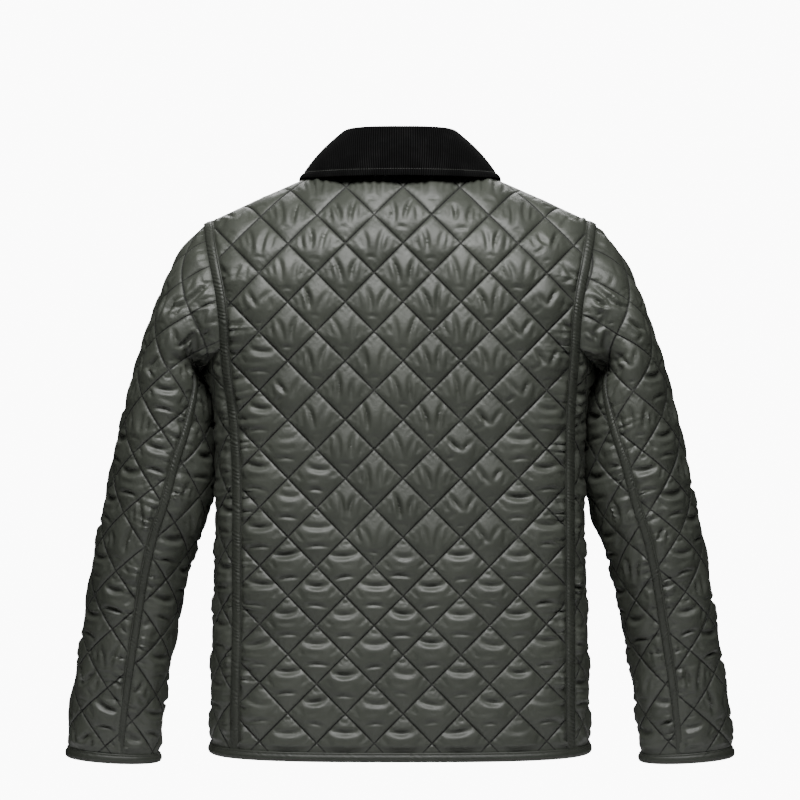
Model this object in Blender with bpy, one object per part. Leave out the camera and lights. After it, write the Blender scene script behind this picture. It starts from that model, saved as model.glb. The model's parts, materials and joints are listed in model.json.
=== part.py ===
"""Quilted jacket, worn form with no wearer: hollow body, hanging sleeves, turned-down corduroy collar.

Metres, +Z up. The front faces -Y, the back faces +Y, the wearer's left arm is at +X. The origin lies
inside the neck, level with the back neck seam, where neck and shoulders carry the jacket.

Every quilted panel is cut from one flat sheet: its outline and its stitch lines are drawn in flat
coordinates, and a surface function wraps them onto the body or the arm. Between the stitch lines the
outer face rises into small pillows; the inner face is plain.
"""

import math

import bmesh
import bpy
import numpy as np
from mathutils import Vector
from mathutils.geometry import delaunay_2d_cdt

# ---------------------------------------------------------------- driving sizes

SEAM_GAP = 0.0003            # between two pieces that meet at a seam
WALL = 0.0022                # thickness of the sandwich at a stitch line
PUFF = 0.0040                # how far a pillow rises over its stitch lines
STITCH_SINK = 0.0005         # a stitch line ends this much lower in a flat margin
QUILT_ACROSS = 0.0668        # from one crossing to the next, across the body
QUILT_DOWN = 0.0680          # and down it
SLEEVE_QUILT_DOWN = 0.0700
FLAT_EDGE = 0.0045           # flat margin inside a plain edge
STATION = 0.019              # spacing of the points along a seam
ARMHOLE_STATION = 0.0145

HEM_Z = -0.683
BINDING_HEIGHT = 0.010
STRIP_MARGIN = 0.0105        # flat margin of the panel below the strip

SHOULDER_TIP_X = 0.2346
RIDGE_TOP = 0.0661           # shoulder line: RIDGE_TOP - RIDGE_FALL * hypot(x, RIDGE_ROUND)
RIDGE_FALL = 0.4887
RIDGE_ROUND = 0.070
BACK_ROUNDING = 0.120        # height over which the back rolls over to the shoulder line
FRONT_ROUNDING = 0.150
STEEP = math.acos(0.55)      # past this slope the cloth's own length counts, not its height

BODY_POWER = 3.0             # superellipse power of a body section: a flat back with quick sides
REF_WIDTH = 0.220
REF_DEPTH = 0.115

NECK_HALF = 0.080
NECK_BACK_Z = 0.012
NECK_FRONT_LEVEL = -0.075
LAP_OVER = 0.012             # panel edge past the centre front, before the binding
LAP_LIFT = 0.0085            # the left front lies this far over the right one
LAP_RAMP = (0.022, 0.060)

UNDERARM_LEVEL = -0.2255
BACK_CORNER_LEVEL = -0.202   # where armhole and side-back seam meet

# level, half width, depth of the back, depth of the front: body sections at the stitch lines
BODY = np.array((
    (-0.690, 0.2256, 0.1110, 0.1200),
    (-0.600, 0.2240, 0.1105, 0.1190),
    (-0.500, 0.2212, 0.1090, 0.1160),
    (-0.400, 0.2184, 0.1085, 0.1140),
    (-0.340, 0.2172, 0.1095, 0.1145),
    (-0.290, 0.2182, 0.1115, 0.1155),
    (-0.250, 0.2240, 0.1135, 0.1155),
    (-0.225, 0.2310, 0.1150, 0.1150),
    (-0.190, 0.2400, 0.1165, 0.1140),
    (-0.120, 0.2520, 0.1165, 0.1110),
    (-0.060, 0.2610, 0.1110, 0.1070),
    (0.000, 0.2620, 0.1000, 0.1040),
    (0.080, 0.2620, 0.0900, 0.1020),
))

# level, left, right: half width of the back panel, down the armhole and the side-back seam
BACK_EDGE = np.array((
    (-0.690, 0.1970, 0.2033),
    (-0.615, 0.1965, 0.2033),
    (-0.550, 0.1949, 0.2033),
    (-0.450, 0.1947, 0.2033),
    (-0.324, 0.1961, 0.2034),
    (-0.279, 0.1997, 0.2040),
    (-0.245, 0.2045, 0.2056),
    (-0.215, 0.2076, 0.2076),
    (-0.171, 0.2100, 0.2100),
    (-0.145, 0.2130, 0.2130),
    (-0.099, 0.2227, 0.2227),
    (-0.070, 0.2288, 0.2288),
    (-0.035, SHOULDER_TIP_X, SHOULDER_TIP_X),
))

# way in from the seam, out from the stitch lines: a felled strip with two rows of stitches
STRIP_PROFILE = (
    (0.0008, 0.0006),
    (0.0008, 0.0015),
    (0.0030, 0.0025),
    (0.0053, 0.0016),
    (0.0076, 0.0025),
    (0.0098, 0.0015),
    (0.0098, 0.0006),
)
STRIP_END_GAP = 0.0060       # the strip stops this far before the shoulder line and the cuff

# level, x: front armhole, from its lower end up to the shoulder tip
FRONT_ARMHOLE = np.array((
    (-0.208, 0.2060),
    (-0.190, 0.2000),
    (-0.160, 0.1975),
    (-0.120, 0.2040),
    (-0.085, 0.2150),
    (-0.030, SHOULDER_TIP_X),
))

# run along the outer side, outer x, outer z, inner x, inner z, half depth, middle y
SLEEVE = np.array((
    (0.0000, 0.2346, -0.0535, 0.2325, -0.2255, 0.0850, 0.000),
    (0.0475, 0.2650, -0.0900, 0.2370, -0.2262, 0.0840, 0.000),
    (0.1006, 0.2880, -0.1380, 0.2400, -0.2290, 0.0825, 0.000),
    (0.1519, 0.3060, -0.1860, 0.2375, -0.2360, 0.0810, 0.000),
    (0.1971, 0.3200, -0.2290, 0.2300, -0.2500, 0.0790, -0.001),
    (0.2375, 0.3305, -0.2680, 0.2253, -0.2790, 0.0770, -0.002),
    (0.2894, 0.3425, -0.3185, 0.2227, -0.3360, 0.0735, -0.003),
    (0.3170, 0.3483, -0.3455, 0.2231, -0.3660, 0.0718, -0.004),
    (0.3431, 0.3535, -0.3710, 0.2275, -0.3950, 0.0700, -0.005),
    (0.3991, 0.3655, -0.4260, 0.2478, -0.4540, 0.0650, -0.008),
    (0.4963, 0.3820, -0.5220, 0.2682, -0.5450, 0.0560, -0.015),
    (0.5932, 0.3965, -0.6180, 0.2830, -0.6340, 0.0485, -0.023),
    (0.6475, 0.4028, -0.6720, 0.2885, -0.6830, 0.0450, -0.028),
    (0.6685, 0.4045, -0.6930, 0.2894, -0.7000, 0.0440, -0.029),
))
SLEEVE_END = SLEEVE[-1, 0]
PUFF_IN_OUTLINE = 0.003      # the outline is measured over the pillows, the sections below them
SLEEVE_CLEAR = 0.0009        # the sleeve's top edge lies this far out from the armhole
RING_BLEND = 0.120           # the sleeve leaves the armhole's own shape within this run
ARM_TILT = math.radians(11)
ARM_DOWN = np.array((math.sin(ARM_TILT), 0.0, -math.cos(ARM_TILT)))
ARM_OUT = np.array((math.cos(ARM_TILT), 0.0, math.sin(ARM_TILT)))
NEWTON_STEPS = 40

# way down along the arm, centre, half width, half depth: ovals square to the arm, for its flat sheet
SLEEVE_ARCS = np.array((
    (0.097, 0.2050, 0.0155, 0.0250),
    (0.140, 0.1990, 0.0445, 0.0650),
    (0.183, 0.1950, 0.0595, 0.0800),
    (0.236, 0.2050, 0.0590, 0.0830),
    (0.270, 0.2215, 0.0480, 0.0810),
    (0.300, 0.2200, 0.0510, 0.0780),
    (0.350, 0.2153, 0.0589, 0.0750),
    (0.430, 0.2128, 0.0633, 0.0700),
    (0.490, 0.2163, 0.0597, 0.0650),
    (0.585, 0.2158, 0.0566, 0.0560),
    (0.680, 0.2120, 0.0551, 0.0485),
    (0.755, 0.2050, 0.0545, 0.0440),
))

# run, turn in degrees: the elbow seam, from the underarm down the back of the sleeve
ELBOW_SEAM = np.array((
    (0.00, 146.0),
    (0.05, 149.5),
    (0.10, 153.0),
    (0.15, 152.0),
    (0.20, 144.0),
    (0.25, 129.0),
    (0.30, 112.0),
    (0.35, 105.5),
    (0.42, 105.5),
    (0.50, 106.5),
    (0.67, 105.0),
))
INNER_SEAM_TURN = -140.0

# where one crossing of the stitch lines lies, in each sheet's flat coordinates
BACK_CROSSING = (-0.0035, -0.0150)
FRONT_CROSSING = (0.0200, -0.1000)
SLEEVE_CROSSING = (0.0560, 0.2180)

SNAP_COUNT = 5
SNAP_RADIUS = 0.0075
SNAP_TOP_LEVEL = -0.100
SNAP_LOW_LEVEL = -0.610

OLIVE = (0.045, 0.048, 0.040, 1.0)
CORDUROY = (0.006, 0.006, 0.006, 1.0)
BRASS = (0.30, 0.22, 0.10, 1.0)


# ---------------------------------------------------------------- tables and curves

def smooth(table, column, at):
    """Value of a table's column at a position, on a curve that runs smoothly through its rows."""
    keys = table[:, 0]
    values = table[:, column]
    slopes = np.gradient(values, keys)
    at = np.clip(at, keys[0], keys[-1])
    row = np.clip(np.searchsorted(keys, at, side="right") - 1, 0, len(keys) - 2)
    span = keys[row + 1] - keys[row]
    t = (at - keys[row]) / span
    start = (1 + 2 * t) * (1 - t) ** 2 * values[row] + t * (1 - t) ** 2 * span * slopes[row]
    end = t * t * (3 - 2 * t) * values[row + 1] - t * t * (1 - t) * span * slopes[row + 1]
    return start + end


def ease(value):
    value = np.clip(value, 0.0, 1.0)
    return value * value * (3 - 2 * value)


def spread(start, end, spacing=STATION):
    """Even values from start to end, about one spacing apart."""
    count = max(2, int(round(abs(end - start) / spacing)) + 1)
    return np.linspace(start, end, count)


# ---------------------------------------------------------------- body surface

def unit_ring():
    """Arc length from the centre front, and the point there, round half of the reference section."""
    turn = np.linspace(0, math.pi, 2881)
    across = np.abs(np.sin(turn)) ** (2 / BODY_POWER)
    deep = -np.sign(np.cos(turn)) * np.abs(np.cos(turn)) ** (2 / BODY_POWER)
    steps = np.hypot(np.diff(across * REF_WIDTH), np.diff(deep * REF_DEPTH))
    return np.concatenate(((0.0,), np.cumsum(steps))), across, deep


RING_ARC, RING_ACROSS, RING_DEEP = unit_ring()
RING_SIDE = len(RING_ARC) // 2


def half_width(level):
    return smooth(BODY, 1, level)


def shoulder_line(x):
    return RIDGE_TOP - RIDGE_FALL * np.hypot(x, RIDGE_ROUND)


def ridge_level(x, rounding):
    """Flat level at which a panel reaches the shoulder line."""
    return shoulder_line(x) + rounding * (math.sin(STEEP) - 1 + 0.55 * (math.pi / 2 - STEEP))


def rolled(x, depth, level, rounding):
    """Body point at x, where the section is depth deep, rolled over towards the shoulder line."""
    foot = shoulder_line(x) - rounding
    rise = np.clip((level - foot) / rounding, 0.0, None)
    gentle = np.arcsin(np.clip(rise, 0.0, math.sin(STEEP)))
    slope = gentle + np.clip(rise - math.sin(STEEP), 0.0, None) / 0.55
    slope = np.minimum(slope, math.pi / 2)
    z = np.where(level < foot, level, foot + rounding * np.sin(slope))
    return np.stack((x, depth * np.cos(slope), z), axis=-1)


def back_surface(x, level):
    """The back: flat coordinates are x and level."""
    share = np.clip(np.abs(x) / half_width(level), 0.0, 0.99999)
    depth = smooth(BODY, 2, level) * (1 - share ** BODY_POWER) ** (1 / BODY_POWER)
    return rolled(x, depth, level, BACK_ROUNDING)


def front_surface(girth, level):
    """A front, here the left one: girth runs from the centre front round the side."""
    scale = half_width(level) / REF_WIDTH
    arc = np.abs(girth) / scale
    x = np.interp(arc, RING_ARC, RING_ACROSS) * half_width(level) * np.sign(girth)
    deep = np.interp(arc, RING_ARC, RING_DEEP)
    depth = deep * np.where(deep < 0, smooth(BODY, 3, level), smooth(BODY, 2, level))
    return rolled(x, depth, level, FRONT_ROUNDING)


def girth_at(x, level, behind=False):
    """Girth of the point at x, on the front half of the section or behind its side."""
    share = np.clip(np.abs(x) / half_width(level), 0.0, 1.0)
    scale = half_width(level) / REF_WIDTH
    if behind:
        return np.interp(-share, -RING_ACROSS[RING_SIDE:], RING_ARC[RING_SIDE:]) * scale
    return np.interp(share, RING_ACROSS[:RING_SIDE + 1], RING_ARC[:RING_SIDE + 1]) * scale * np.sign(x)


def side_girth(level):
    return RING_ARC[RING_SIDE] * half_width(level) / REF_WIDTH


# ---------------------------------------------------------------- armhole

def armhole_back(level):
    """Back armhole as x and level, between the shoulder tip and the back corner."""
    return smooth(BACK_EDGE, 1, level)


def underarm_level(offset, reach, corner_level):
    """Level of the underarm curve, offset round from the side line."""
    return UNDERARM_LEVEL + (corner_level - UNDERARM_LEVEL) * np.abs(offset / reach) ** 2.2


def armhole_paths():
    """Flat points of the armhole: on the back sheet, and on the front sheet round to the shoulder."""
    tip_level = ridge_level(SHOULDER_TIP_X, BACK_ROUNDING)
    levels = spread(tip_level, BACK_CORNER_LEVEL, ARMHOLE_STATION)
    back = np.stack((armhole_back(levels), levels), axis=-1)
    corner = girth_at(back[-1, 0], BACK_CORNER_LEVEL, behind=True)
    foot_level = FRONT_ARMHOLE[0, 0]
    foot = girth_at(FRONT_ARMHOLE[0, 1], foot_level)
    side = side_girth(UNDERARM_LEVEL)
    rear = spread(corner, side, ARMHOLE_STATION)
    fore = spread(side, foot, ARMHOLE_STATION)[1:]
    under = [(g, underarm_level(g - side, corner - side, BACK_CORNER_LEVEL)) for g in rear]
    under += [(g, underarm_level(g - side, side - foot, foot_level)) for g in fore]
    top_level = ridge_level(SHOULDER_TIP_X, FRONT_ROUNDING)
    rising = spread(foot_level, top_level, ARMHOLE_STATION)[1:]
    front = [(girth_at(smooth(FRONT_ARMHOLE, 1, level), level), level) for level in rising]
    return back, np.array(under + front)


ARMHOLE_ON_BACK, ARMHOLE_ON_FRONT = armhole_paths()


def ring_turn(points):
    """Turn round the armhole: 0 at the shoulder tip, 90 degrees at the back, 180 under the arm."""
    middle = (SLEEVE[0, 2] + SLEEVE[0, 4]) / 2
    tall = (SLEEVE[0, 2] - SLEEVE[0, 4]) / 2
    turn = np.arctan2(points[:, 1] / SLEEVE[0, 5], (points[:, 2] - middle) / tall)
    return np.where(turn < -1e-6, turn + 2 * math.pi, turn)


def armhole_ring():
    """The armhole as points in space, in the order of their turn, closed at 360 degrees."""
    behind = back_surface(ARMHOLE_ON_BACK[:, 0], ARMHOLE_ON_BACK[:, 1])
    before = front_surface(ARMHOLE_ON_FRONT[1:, 0], ARMHOLE_ON_FRONT[1:, 1])
    points = np.concatenate((behind, before))
    turns = ring_turn(points)
    turns[0] = 0.0
    turns[-1] = 2 * math.pi
    return turns, points


RING_TURNS, RING_POINTS = armhole_ring()


# ---------------------------------------------------------------- sleeve surface

def sleeve_section(run):
    """Centre, outward direction, half width and half depth of the sleeve at a run."""
    outer = np.stack((smooth(SLEEVE, 1, run), 0 * run, smooth(SLEEVE, 2, run)), axis=-1)
    inner = np.stack((smooth(SLEEVE, 3, run), 0 * run, smooth(SLEEVE, 4, run)), axis=-1)
    width = np.linalg.norm(outer - inner, axis=-1)
    direction = (outer - inner) / width[..., None]
    centre = (outer + inner) / 2
    centre[..., 1] = smooth(SLEEVE, 6, run)
    thinner = PUFF_IN_OUTLINE * ease(run / RING_BLEND)
    return centre, direction, width / 2 - thinner, smooth(SLEEVE, 5, run) - thinner


def oval(turn, run):
    centre, direction, half, deep = sleeve_section(run)
    point = centre + direction * (half * np.cos(turn))[..., None]
    point[..., 1] += deep * np.sin(turn)
    return point


def sleeve_surface(turn, run):
    """The left sleeve: turn is 0 on its outer side and a quarter turn at its back."""
    turn = np.asarray(turn, float)
    run = np.asarray(run, float)
    full = np.mod(turn, 2 * math.pi)
    ring = np.stack([np.interp(full, RING_TURNS, RING_POINTS[:, axis]) for axis in range(3)], axis=-1)
    shift = ring - oval(turn, 0 * run)
    shift[..., 0] += SLEEVE_CLEAR
    return oval(turn, run) + shift * (1 - ease(run / RING_BLEND))[..., None]


def arc_of_oval(half, deep, turn):
    """Length along an oval from its outer end to a turn, to within a hundredth."""
    mean = np.sqrt((half ** 2 + deep ** 2) / 2)
    odd = (deep ** 2 - half ** 2) / (half ** 2 + deep ** 2)
    curve = (1 - odd ** 2 / 16) * turn + odd / 4 * np.sin(2 * turn) - odd ** 2 / 64 * np.sin(4 * turn)
    return mean * curve


def sleeve_flat(turn, run):
    """Flat coordinates of a sleeve point: arc round the sleeve, and way down along the arm."""
    point = sleeve_surface(turn, run)
    down = point @ ARM_DOWN
    centre, half, deep = (smooth(SLEEVE_ARCS, column, down) for column in (1, 2, 3))
    sideways = (point @ ARM_OUT - centre) / half
    across = (point[..., 1] - smooth(SLEEVE, 6, run)) / deep
    angle = np.arctan2(across, sideways)
    angle += 2 * math.pi * np.round((turn - angle) / (2 * math.pi))
    return np.stack((arc_of_oval(half, deep, angle), down), axis=-1)


def sleeve_unflat(flat):
    """Turn and run of points given in flat coordinates, by Newton steps."""
    flat = np.asarray(flat, float)
    turn = flat[:, 0] / 0.066
    run = np.clip(flat[:, 1] - 0.095, 0.02, SLEEVE_END)
    small = 1e-5
    for _ in range(NEWTON_STEPS):
        here = sleeve_flat(turn, run)
        by_turn = (sleeve_flat(turn + small, run) - here) / small
        by_run = (sleeve_flat(turn, run + small) - here) / small
        miss = flat - here
        size = by_turn[:, 0] * by_run[:, 1] - by_turn[:, 1] * by_run[:, 0]
        turn_step = (miss[:, 0] * by_run[:, 1] - miss[:, 1] * by_run[:, 0]) / size
        run_step = (by_turn[:, 0] * miss[:, 1] - by_turn[:, 1] * miss[:, 0]) / size
        turn = turn + np.clip(turn_step, -0.2, 0.2)
        run = np.clip(run + np.clip(run_step, -0.03, 0.03), 0.0, SLEEVE_END - 2 * small)
    return turn, run


def moved_out(surface, first, second, out):
    """Surface points moved out along the surface's own normal."""
    first = np.asarray(first, float)
    second = np.asarray(second, float)
    small = 2e-4
    along = surface(first + small, second) - surface(first - small, second)
    up = surface(first, second + small) - surface(first, second - small)
    normal = np.cross(along, up)
    normal /= np.linalg.norm(normal, axis=-1, keepdims=True)
    return surface(first, second) + normal * np.broadcast_to(out, first.shape)[..., None]


# ---------------------------------------------------------------- how each sheet is placed

def mirrored(points, side):
    return points * np.array((side, 1.0, 1.0))


def place_back(flat, out):
    return moved_out(back_surface, flat[:, 0], flat[:, 1], -np.asarray(out))


def lap_lift(girth):
    """How far the left front is lifted over the right one."""
    start, end = LAP_RAMP
    return LAP_LIFT * (1 - ease((girth - start) / (end - start)))


def place_front(side):
    """The left front (side 1) laps over the right one (side -1)."""
    def place(flat, out):
        lift = lap_lift(flat[:, 0]) if side > 0 else 0.0
        return mirrored(moved_out(front_surface, flat[:, 0], flat[:, 1], out + lift), side)
    return place


def place_sleeve(side):
    def place(flat, out):
        turn, run = sleeve_unflat(flat)
        return mirrored(moved_out(sleeve_surface, turn, run, -np.asarray(out)), side)
    return place


# ---------------------------------------------------------------- flat outlines

def inset(outline, distances):
    """A closed outline moved inwards, each of its edges by its own distance."""
    outline = np.asarray(outline, float)
    edges = np.roll(outline, -1, axis=0) - outline
    normals = np.stack((-edges[:, 1], edges[:, 0]), axis=-1)
    normals /= np.linalg.norm(normals, axis=-1, keepdims=True)
    distances = np.broadcast_to(distances, len(outline))
    before = np.roll(normals, 1, axis=0)
    near = np.roll(distances, 1)
    turn = before[:, 0] * normals[:, 1] - before[:, 1] * normals[:, 0]
    straight = np.abs(turn) < 0.15
    safe = np.where(straight, 1.0, turn)
    corner_x = (near * normals[:, 1] - distances * before[:, 1]) / safe
    corner_y = (before[:, 0] * distances - normals[:, 0] * near) / safe
    middle = before + normals
    middle /= np.linalg.norm(middle, axis=-1, keepdims=True)
    level = middle * np.maximum(near, distances)[:, None]
    step = np.where(straight[:, None], level, np.stack((corner_x, corner_y), axis=-1))
    return outline + step


def inside(points, outline):
    """Which points lie inside a closed outline."""
    ends = np.roll(outline, -1, axis=0)
    x, y = points[:, None, 0], points[:, None, 1]
    crosses = (outline[:, 1] > y) != (ends[:, 1] > y)
    rise = np.where(outline[:, 1] == ends[:, 1], 1.0, ends[:, 1] - outline[:, 1])
    at = outline[:, 0] + (y - outline[:, 1]) * (ends[:, 0] - outline[:, 0]) / rise
    return (crosses & (x < at)).sum(axis=1) % 2 == 1


def distance(points, outline):
    """Distance of each point from a closed outline."""
    edges = np.roll(outline, -1, axis=0) - outline
    reach = points[:, None, :] - outline[None]
    along = np.clip((reach * edges).sum(-1) / (edges ** 2).sum(-1), 0, 1)
    return np.linalg.norm(reach - along[..., None] * edges, axis=-1).min(axis=1)


def meet(start, end, outline):
    """Where the segment from start to end first meets a closed outline, or None."""
    ends = np.roll(outline, -1, axis=0)
    way = end - start
    edges = ends - outline
    size = way[0] * edges[:, 1] - way[1] * edges[:, 0]
    size = np.where(np.abs(size) < 1e-12, 1e-12, size)
    reach = outline - start
    share = (reach[:, 0] * edges[:, 1] - reach[:, 1] * edges[:, 0]) / size
    along = (reach[:, 0] * way[1] - reach[:, 1] * way[0]) / size
    hits = share[(share > 0) & (share <= 1) & (along >= 0) & (along <= 1)]
    return start + way * hits.min() if len(hits) else None


# ---------------------------------------------------------------- quilted panels

def lattice(outline, crossing, down):
    """Quarter-pitch nodes of the quilting round an outline: their numbers and flat places."""
    low = outline.min(axis=0)
    high = outline.max(axis=0)
    step = np.array((QUILT_ACROSS, down)) / 4
    first = np.floor((low - crossing) / step).astype(int) - 2
    last = np.ceil((high - crossing) / step).astype(int) + 2
    columns, rows = np.meshgrid(np.arange(first[0], last[0] + 1), np.arange(first[1], last[1] + 1))
    numbers = np.stack((columns.ravel(), rows.ravel()), axis=-1)
    return numbers, crossing + numbers * step


class Net:
    """Points and edges of a flat sheet, with the height of each point over the stitch lines."""

    def __init__(self):
        self.points = []
        self.heights = []
        self.edges = []

    def add(self, point, height=0.0):
        self.points.append(tuple(point))
        self.heights.append(height)
        return len(self.points) - 1

    def loop(self, points):
        numbers = [self.add(point) for point in points]
        self.edges += list(zip(numbers, numbers[1:] + numbers[:1]))
        return numbers

    def triangles(self, outline):
        """Triangles of the net inside the outline; every given edge is kept."""
        flat = [Vector(point) for point in self.points]
        points, _, faces, sources, _, _ = delaunay_2d_cdt(flat, self.edges, [], 0, 1e-7)
        points = np.array([tuple(point) for point in points])
        heights = np.array([self.heights[source[0]] if source else 0.0 for source in sources])
        faces = np.array([tuple(face) for face in faces])
        middles = points[faces].mean(axis=1)
        return points, heights, faces[inside(middles, outline)], sources


def quilted_net(outline, margin_line, crossing, down, marks):
    """The outer face of a panel: pillows between straight stitch lines, flat along its edges."""
    net = Net()
    net.loop(outline)
    net.loop(margin_line)
    for mark in marks:
        net.loop(mark)
    numbers, places = lattice(outline, crossing, down)
    clear = inside(places, margin_line) & (distance(places, margin_line) > 0.0045)
    for mark in marks:
        clear &= ~inside(places, mark) & (distance(places, mark) > 0.005)
    fade = ease(distance(places, margin_line) / 0.013)
    for mark in marks:
        fade *= ease(distance(places, mark) / 0.013)
    kept = {}
    for number, place, keep, share in zip(map(tuple, numbers.tolist()), places, clear, fade):
        column, row = number
        pillow = (column + row) % 2 == 1
        on_crossing = (column + row) % 4 == 0 and (column - row) % 4 == 0
        if keep and (pillow or on_crossing):
            kept[number] = net.add(place, PUFF * share if pillow else 0.0)
    place_of = dict(zip(map(tuple, numbers.tolist()), places))
    for (column, row), here in list(kept.items()):
        if (column + row) % 2:
            continue
        for over, up in ((2, 2), (2, -2), (-2, 2), (-2, -2)):
            other = (column + over, row + up)
            if other in kept:
                net.edges.append((here, kept[other]))
                continue
            stop = meet(place_of[(column, row)], place_of[other], margin_line)
            if stop is not None:
                net.edges.append((here, net.add(stop, -STITCH_SINK)))
    return net


def plain_net(outline, crossing, down):
    """The plain inner face: the outline, and one point for each crossing and pillow."""
    net = Net()
    net.loop(outline)
    numbers, places = lattice(outline, crossing, down)
    coarse = (numbers % 2 == 0).all(axis=1)
    clear = coarse & inside(places, outline) & (distance(places, outline) > 0.010)
    for place in places[clear]:
        net.add(place)
    return net


def order_of(sources, count):
    """Number of each of the first count given points among the points that came back."""
    found = {}
    for number, source in enumerate(sources):
        for given in source:
            found[given] = number
    return [found[given] for given in range(count)]


def panel(name, seam_line, margins, place, crossing, down, material, marks=()):
    """A quilted panel cut along its seam lines, with each edge's own flat margin."""
    outline = inset(seam_line, SEAM_GAP)
    margin_line = inset(seam_line, margins)
    crossing = np.array(crossing)
    outer = quilted_net(outline, margin_line, crossing, down, marks)
    outer_points, heights, outer_faces, outer_sources = outer.triangles(outline)
    inner = plain_net(outline, crossing, down)
    inner_points, _, inner_faces, inner_sources = inner.triangles(outline)
    count = len(outline)
    outer_rim = order_of(outer_sources, count)
    inner_rim = order_of(inner_sources, count)
    points = np.concatenate((place(outer_points, heights), place(inner_points, -WALL)))
    faces = [tuple(face) for face in outer_faces]
    shift = len(outer_points)
    faces += [tuple(face[::-1] + shift) for face in inner_faces]
    for this in range(count):
        after = (this + 1) % count
        faces.append((outer_rim[this], outer_rim[after], inner_rim[after] + shift))
        faces.append((outer_rim[this], inner_rim[after] + shift, inner_rim[this] + shift))
    return solid(name, points, faces, material)


# ---------------------------------------------------------------- making objects

def make_material(name, color, roughness, metallic=0.0):
    material = bpy.data.materials.new(name)
    material.use_nodes = True
    shader = material.node_tree.nodes["Principled BSDF"]
    shader.inputs["Base Color"].default_value = color
    shader.inputs["Roughness"].default_value = roughness
    shader.inputs["Metallic"].default_value = metallic
    material.diffuse_color = color
    return material


def solid(name, points, faces, material):
    """A closed body from its points and faces, turned so that its faces point out."""
    mesh = bpy.data.meshes.new(name)
    shape = bmesh.new()
    corners = [shape.verts.new(point) for point in points]
    for face in faces:
        shape.faces.new([corners[number] for number in face])
    loose = [corner for corner in shape.verts if not corner.link_faces]
    bmesh.ops.delete(shape, geom=loose, context="VERTS")
    bmesh.ops.recalc_face_normals(shape, faces=shape.faces)
    if shape.calc_volume(signed=True) < 0:
        bmesh.ops.reverse_faces(shape, faces=shape.faces)
    shape.to_mesh(mesh)
    shape.free()
    mesh.shade_smooth()
    mesh.set_sharp_from_angle(angle=math.radians(40))
    mesh.materials.append(material)
    thing = bpy.data.objects.new(name, mesh)
    bpy.context.scene.collection.objects.link(thing)
    return thing


def swept(name, sections, material, closed=False):
    """A body that runs through its sections, each a closed ring with the same number of points."""
    count, ring = sections.shape[:2]
    faces = []
    for this in range(count if closed else count - 1):
        after = (this + 1) % count
        for k in range(ring):
            k_next = (k + 1) % ring
            faces.append((this * ring + k, this * ring + k_next, after * ring + k_next, after * ring + k))
    if not closed:
        faces.append(tuple(range(ring)))
        faces.append(tuple(range((count - 1) * ring, count * ring)))
    return solid(name, sections.reshape(-1, 3), faces, material)


# ---------------------------------------------------------------- body panels

HEM_TOP = HEM_Z + BINDING_HEIGHT
SEAM_LEVELS = spread(HEM_TOP, BACK_CORNER_LEVEL)
SHOULDER_XS = spread(SHOULDER_TIP_X, NECK_HALF)


def edge_column(side):
    return 1 if side > 0 else 2


def back_neck_level(x):
    top = ridge_level(NECK_HALF, BACK_ROUNDING)
    return NECK_BACK_Z + (top - NECK_BACK_Z) * np.abs(x / NECK_HALF) ** 2.2


def front_neck_level(turn):
    """Level of the front neck line: turn is 0 at the centre front and a quarter turn at the shoulder."""
    top = ridge_level(NECK_HALF, FRONT_ROUNDING)
    return NECK_FRONT_LEVEL + (top - NECK_FRONT_LEVEL) * (1 - np.cos(turn))


def back_side(side):
    """Flat points up one side of the back, from the hem to the shoulder tip."""
    low = np.stack((smooth(BACK_EDGE, edge_column(side), SEAM_LEVELS), SEAM_LEVELS), axis=-1)
    return np.concatenate((low[:-1], ARMHOLE_ON_BACK[::-1])) * (side, 1)


def back_outline():
    """Seam lines round the back, and which of its edges carry a strip."""
    left = back_side(1)
    right = back_side(-1)[::-1]
    hem_xs = spread(right[-1, 0], left[0, 0])[1:-1]
    hem = np.stack((hem_xs, 0 * hem_xs + HEM_TOP), axis=-1)
    shoulder = np.stack((SHOULDER_XS, ridge_level(SHOULDER_XS, BACK_ROUNDING)), axis=-1)[1:]
    neck_xs = spread(NECK_HALF, -NECK_HALF)[1:-1]
    neck = np.stack((neck_xs, back_neck_level(neck_xs)), axis=-1)
    top = np.concatenate((shoulder, neck, shoulder[::-1] * (-1, 1)))
    outline = np.concatenate((left, top, right, hem))
    strip = np.zeros(len(outline), bool)
    strip[:len(left) - 1] = True
    start = len(left) + len(top)
    strip[start:start + len(right) - 1] = True
    return outline, strip, len(left), start


def front_outline(side):
    """Seam lines round a front in girth and level."""
    xs = smooth(BACK_EDGE, edge_column(side), SEAM_LEVELS)
    seam = np.stack((girth_at(xs, SEAM_LEVELS, behind=True), SEAM_LEVELS), axis=-1)
    tops = ridge_level(SHOULDER_XS, FRONT_ROUNDING)
    shoulder = np.stack((girth_at(SHOULDER_XS, tops), tops), axis=-1)[1:]
    turns = np.linspace(math.pi / 2, 0, 9)[1:-1]
    neck_levels = front_neck_level(turns)
    neck = np.stack((girth_at(NECK_HALF * np.sin(turns), neck_levels), neck_levels), axis=-1)
    levels = spread(NECK_FRONT_LEVEL, HEM_TOP)
    edge = np.stack((0 * levels - LAP_OVER, levels), axis=-1)
    hem_girths = spread(-LAP_OVER, seam[0, 0])[1:-1]
    hem = np.stack((hem_girths, 0 * hem_girths + HEM_TOP), axis=-1)
    return np.concatenate((seam[:-1], ARMHOLE_ON_FRONT, shoulder, neck, edge, hem))


def strip_sections(outline, carries, first, count, place):
    """Rings of a felled strip that lies on a panel along the edges that carry it."""
    rings = []
    for inwards, out in STRIP_PROFILE:
        line = inset(outline, np.where(carries, inwards, STRIP_END_GAP))[first:first + count]
        rings.append(place(line, np.full(count, out)))
    return np.stack(rings, axis=1)


def snap_places():
    levels = np.linspace(SNAP_TOP_LEVEL, SNAP_LOW_LEVEL, SNAP_COUNT)
    return np.stack((0 * levels, levels), axis=-1)


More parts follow.
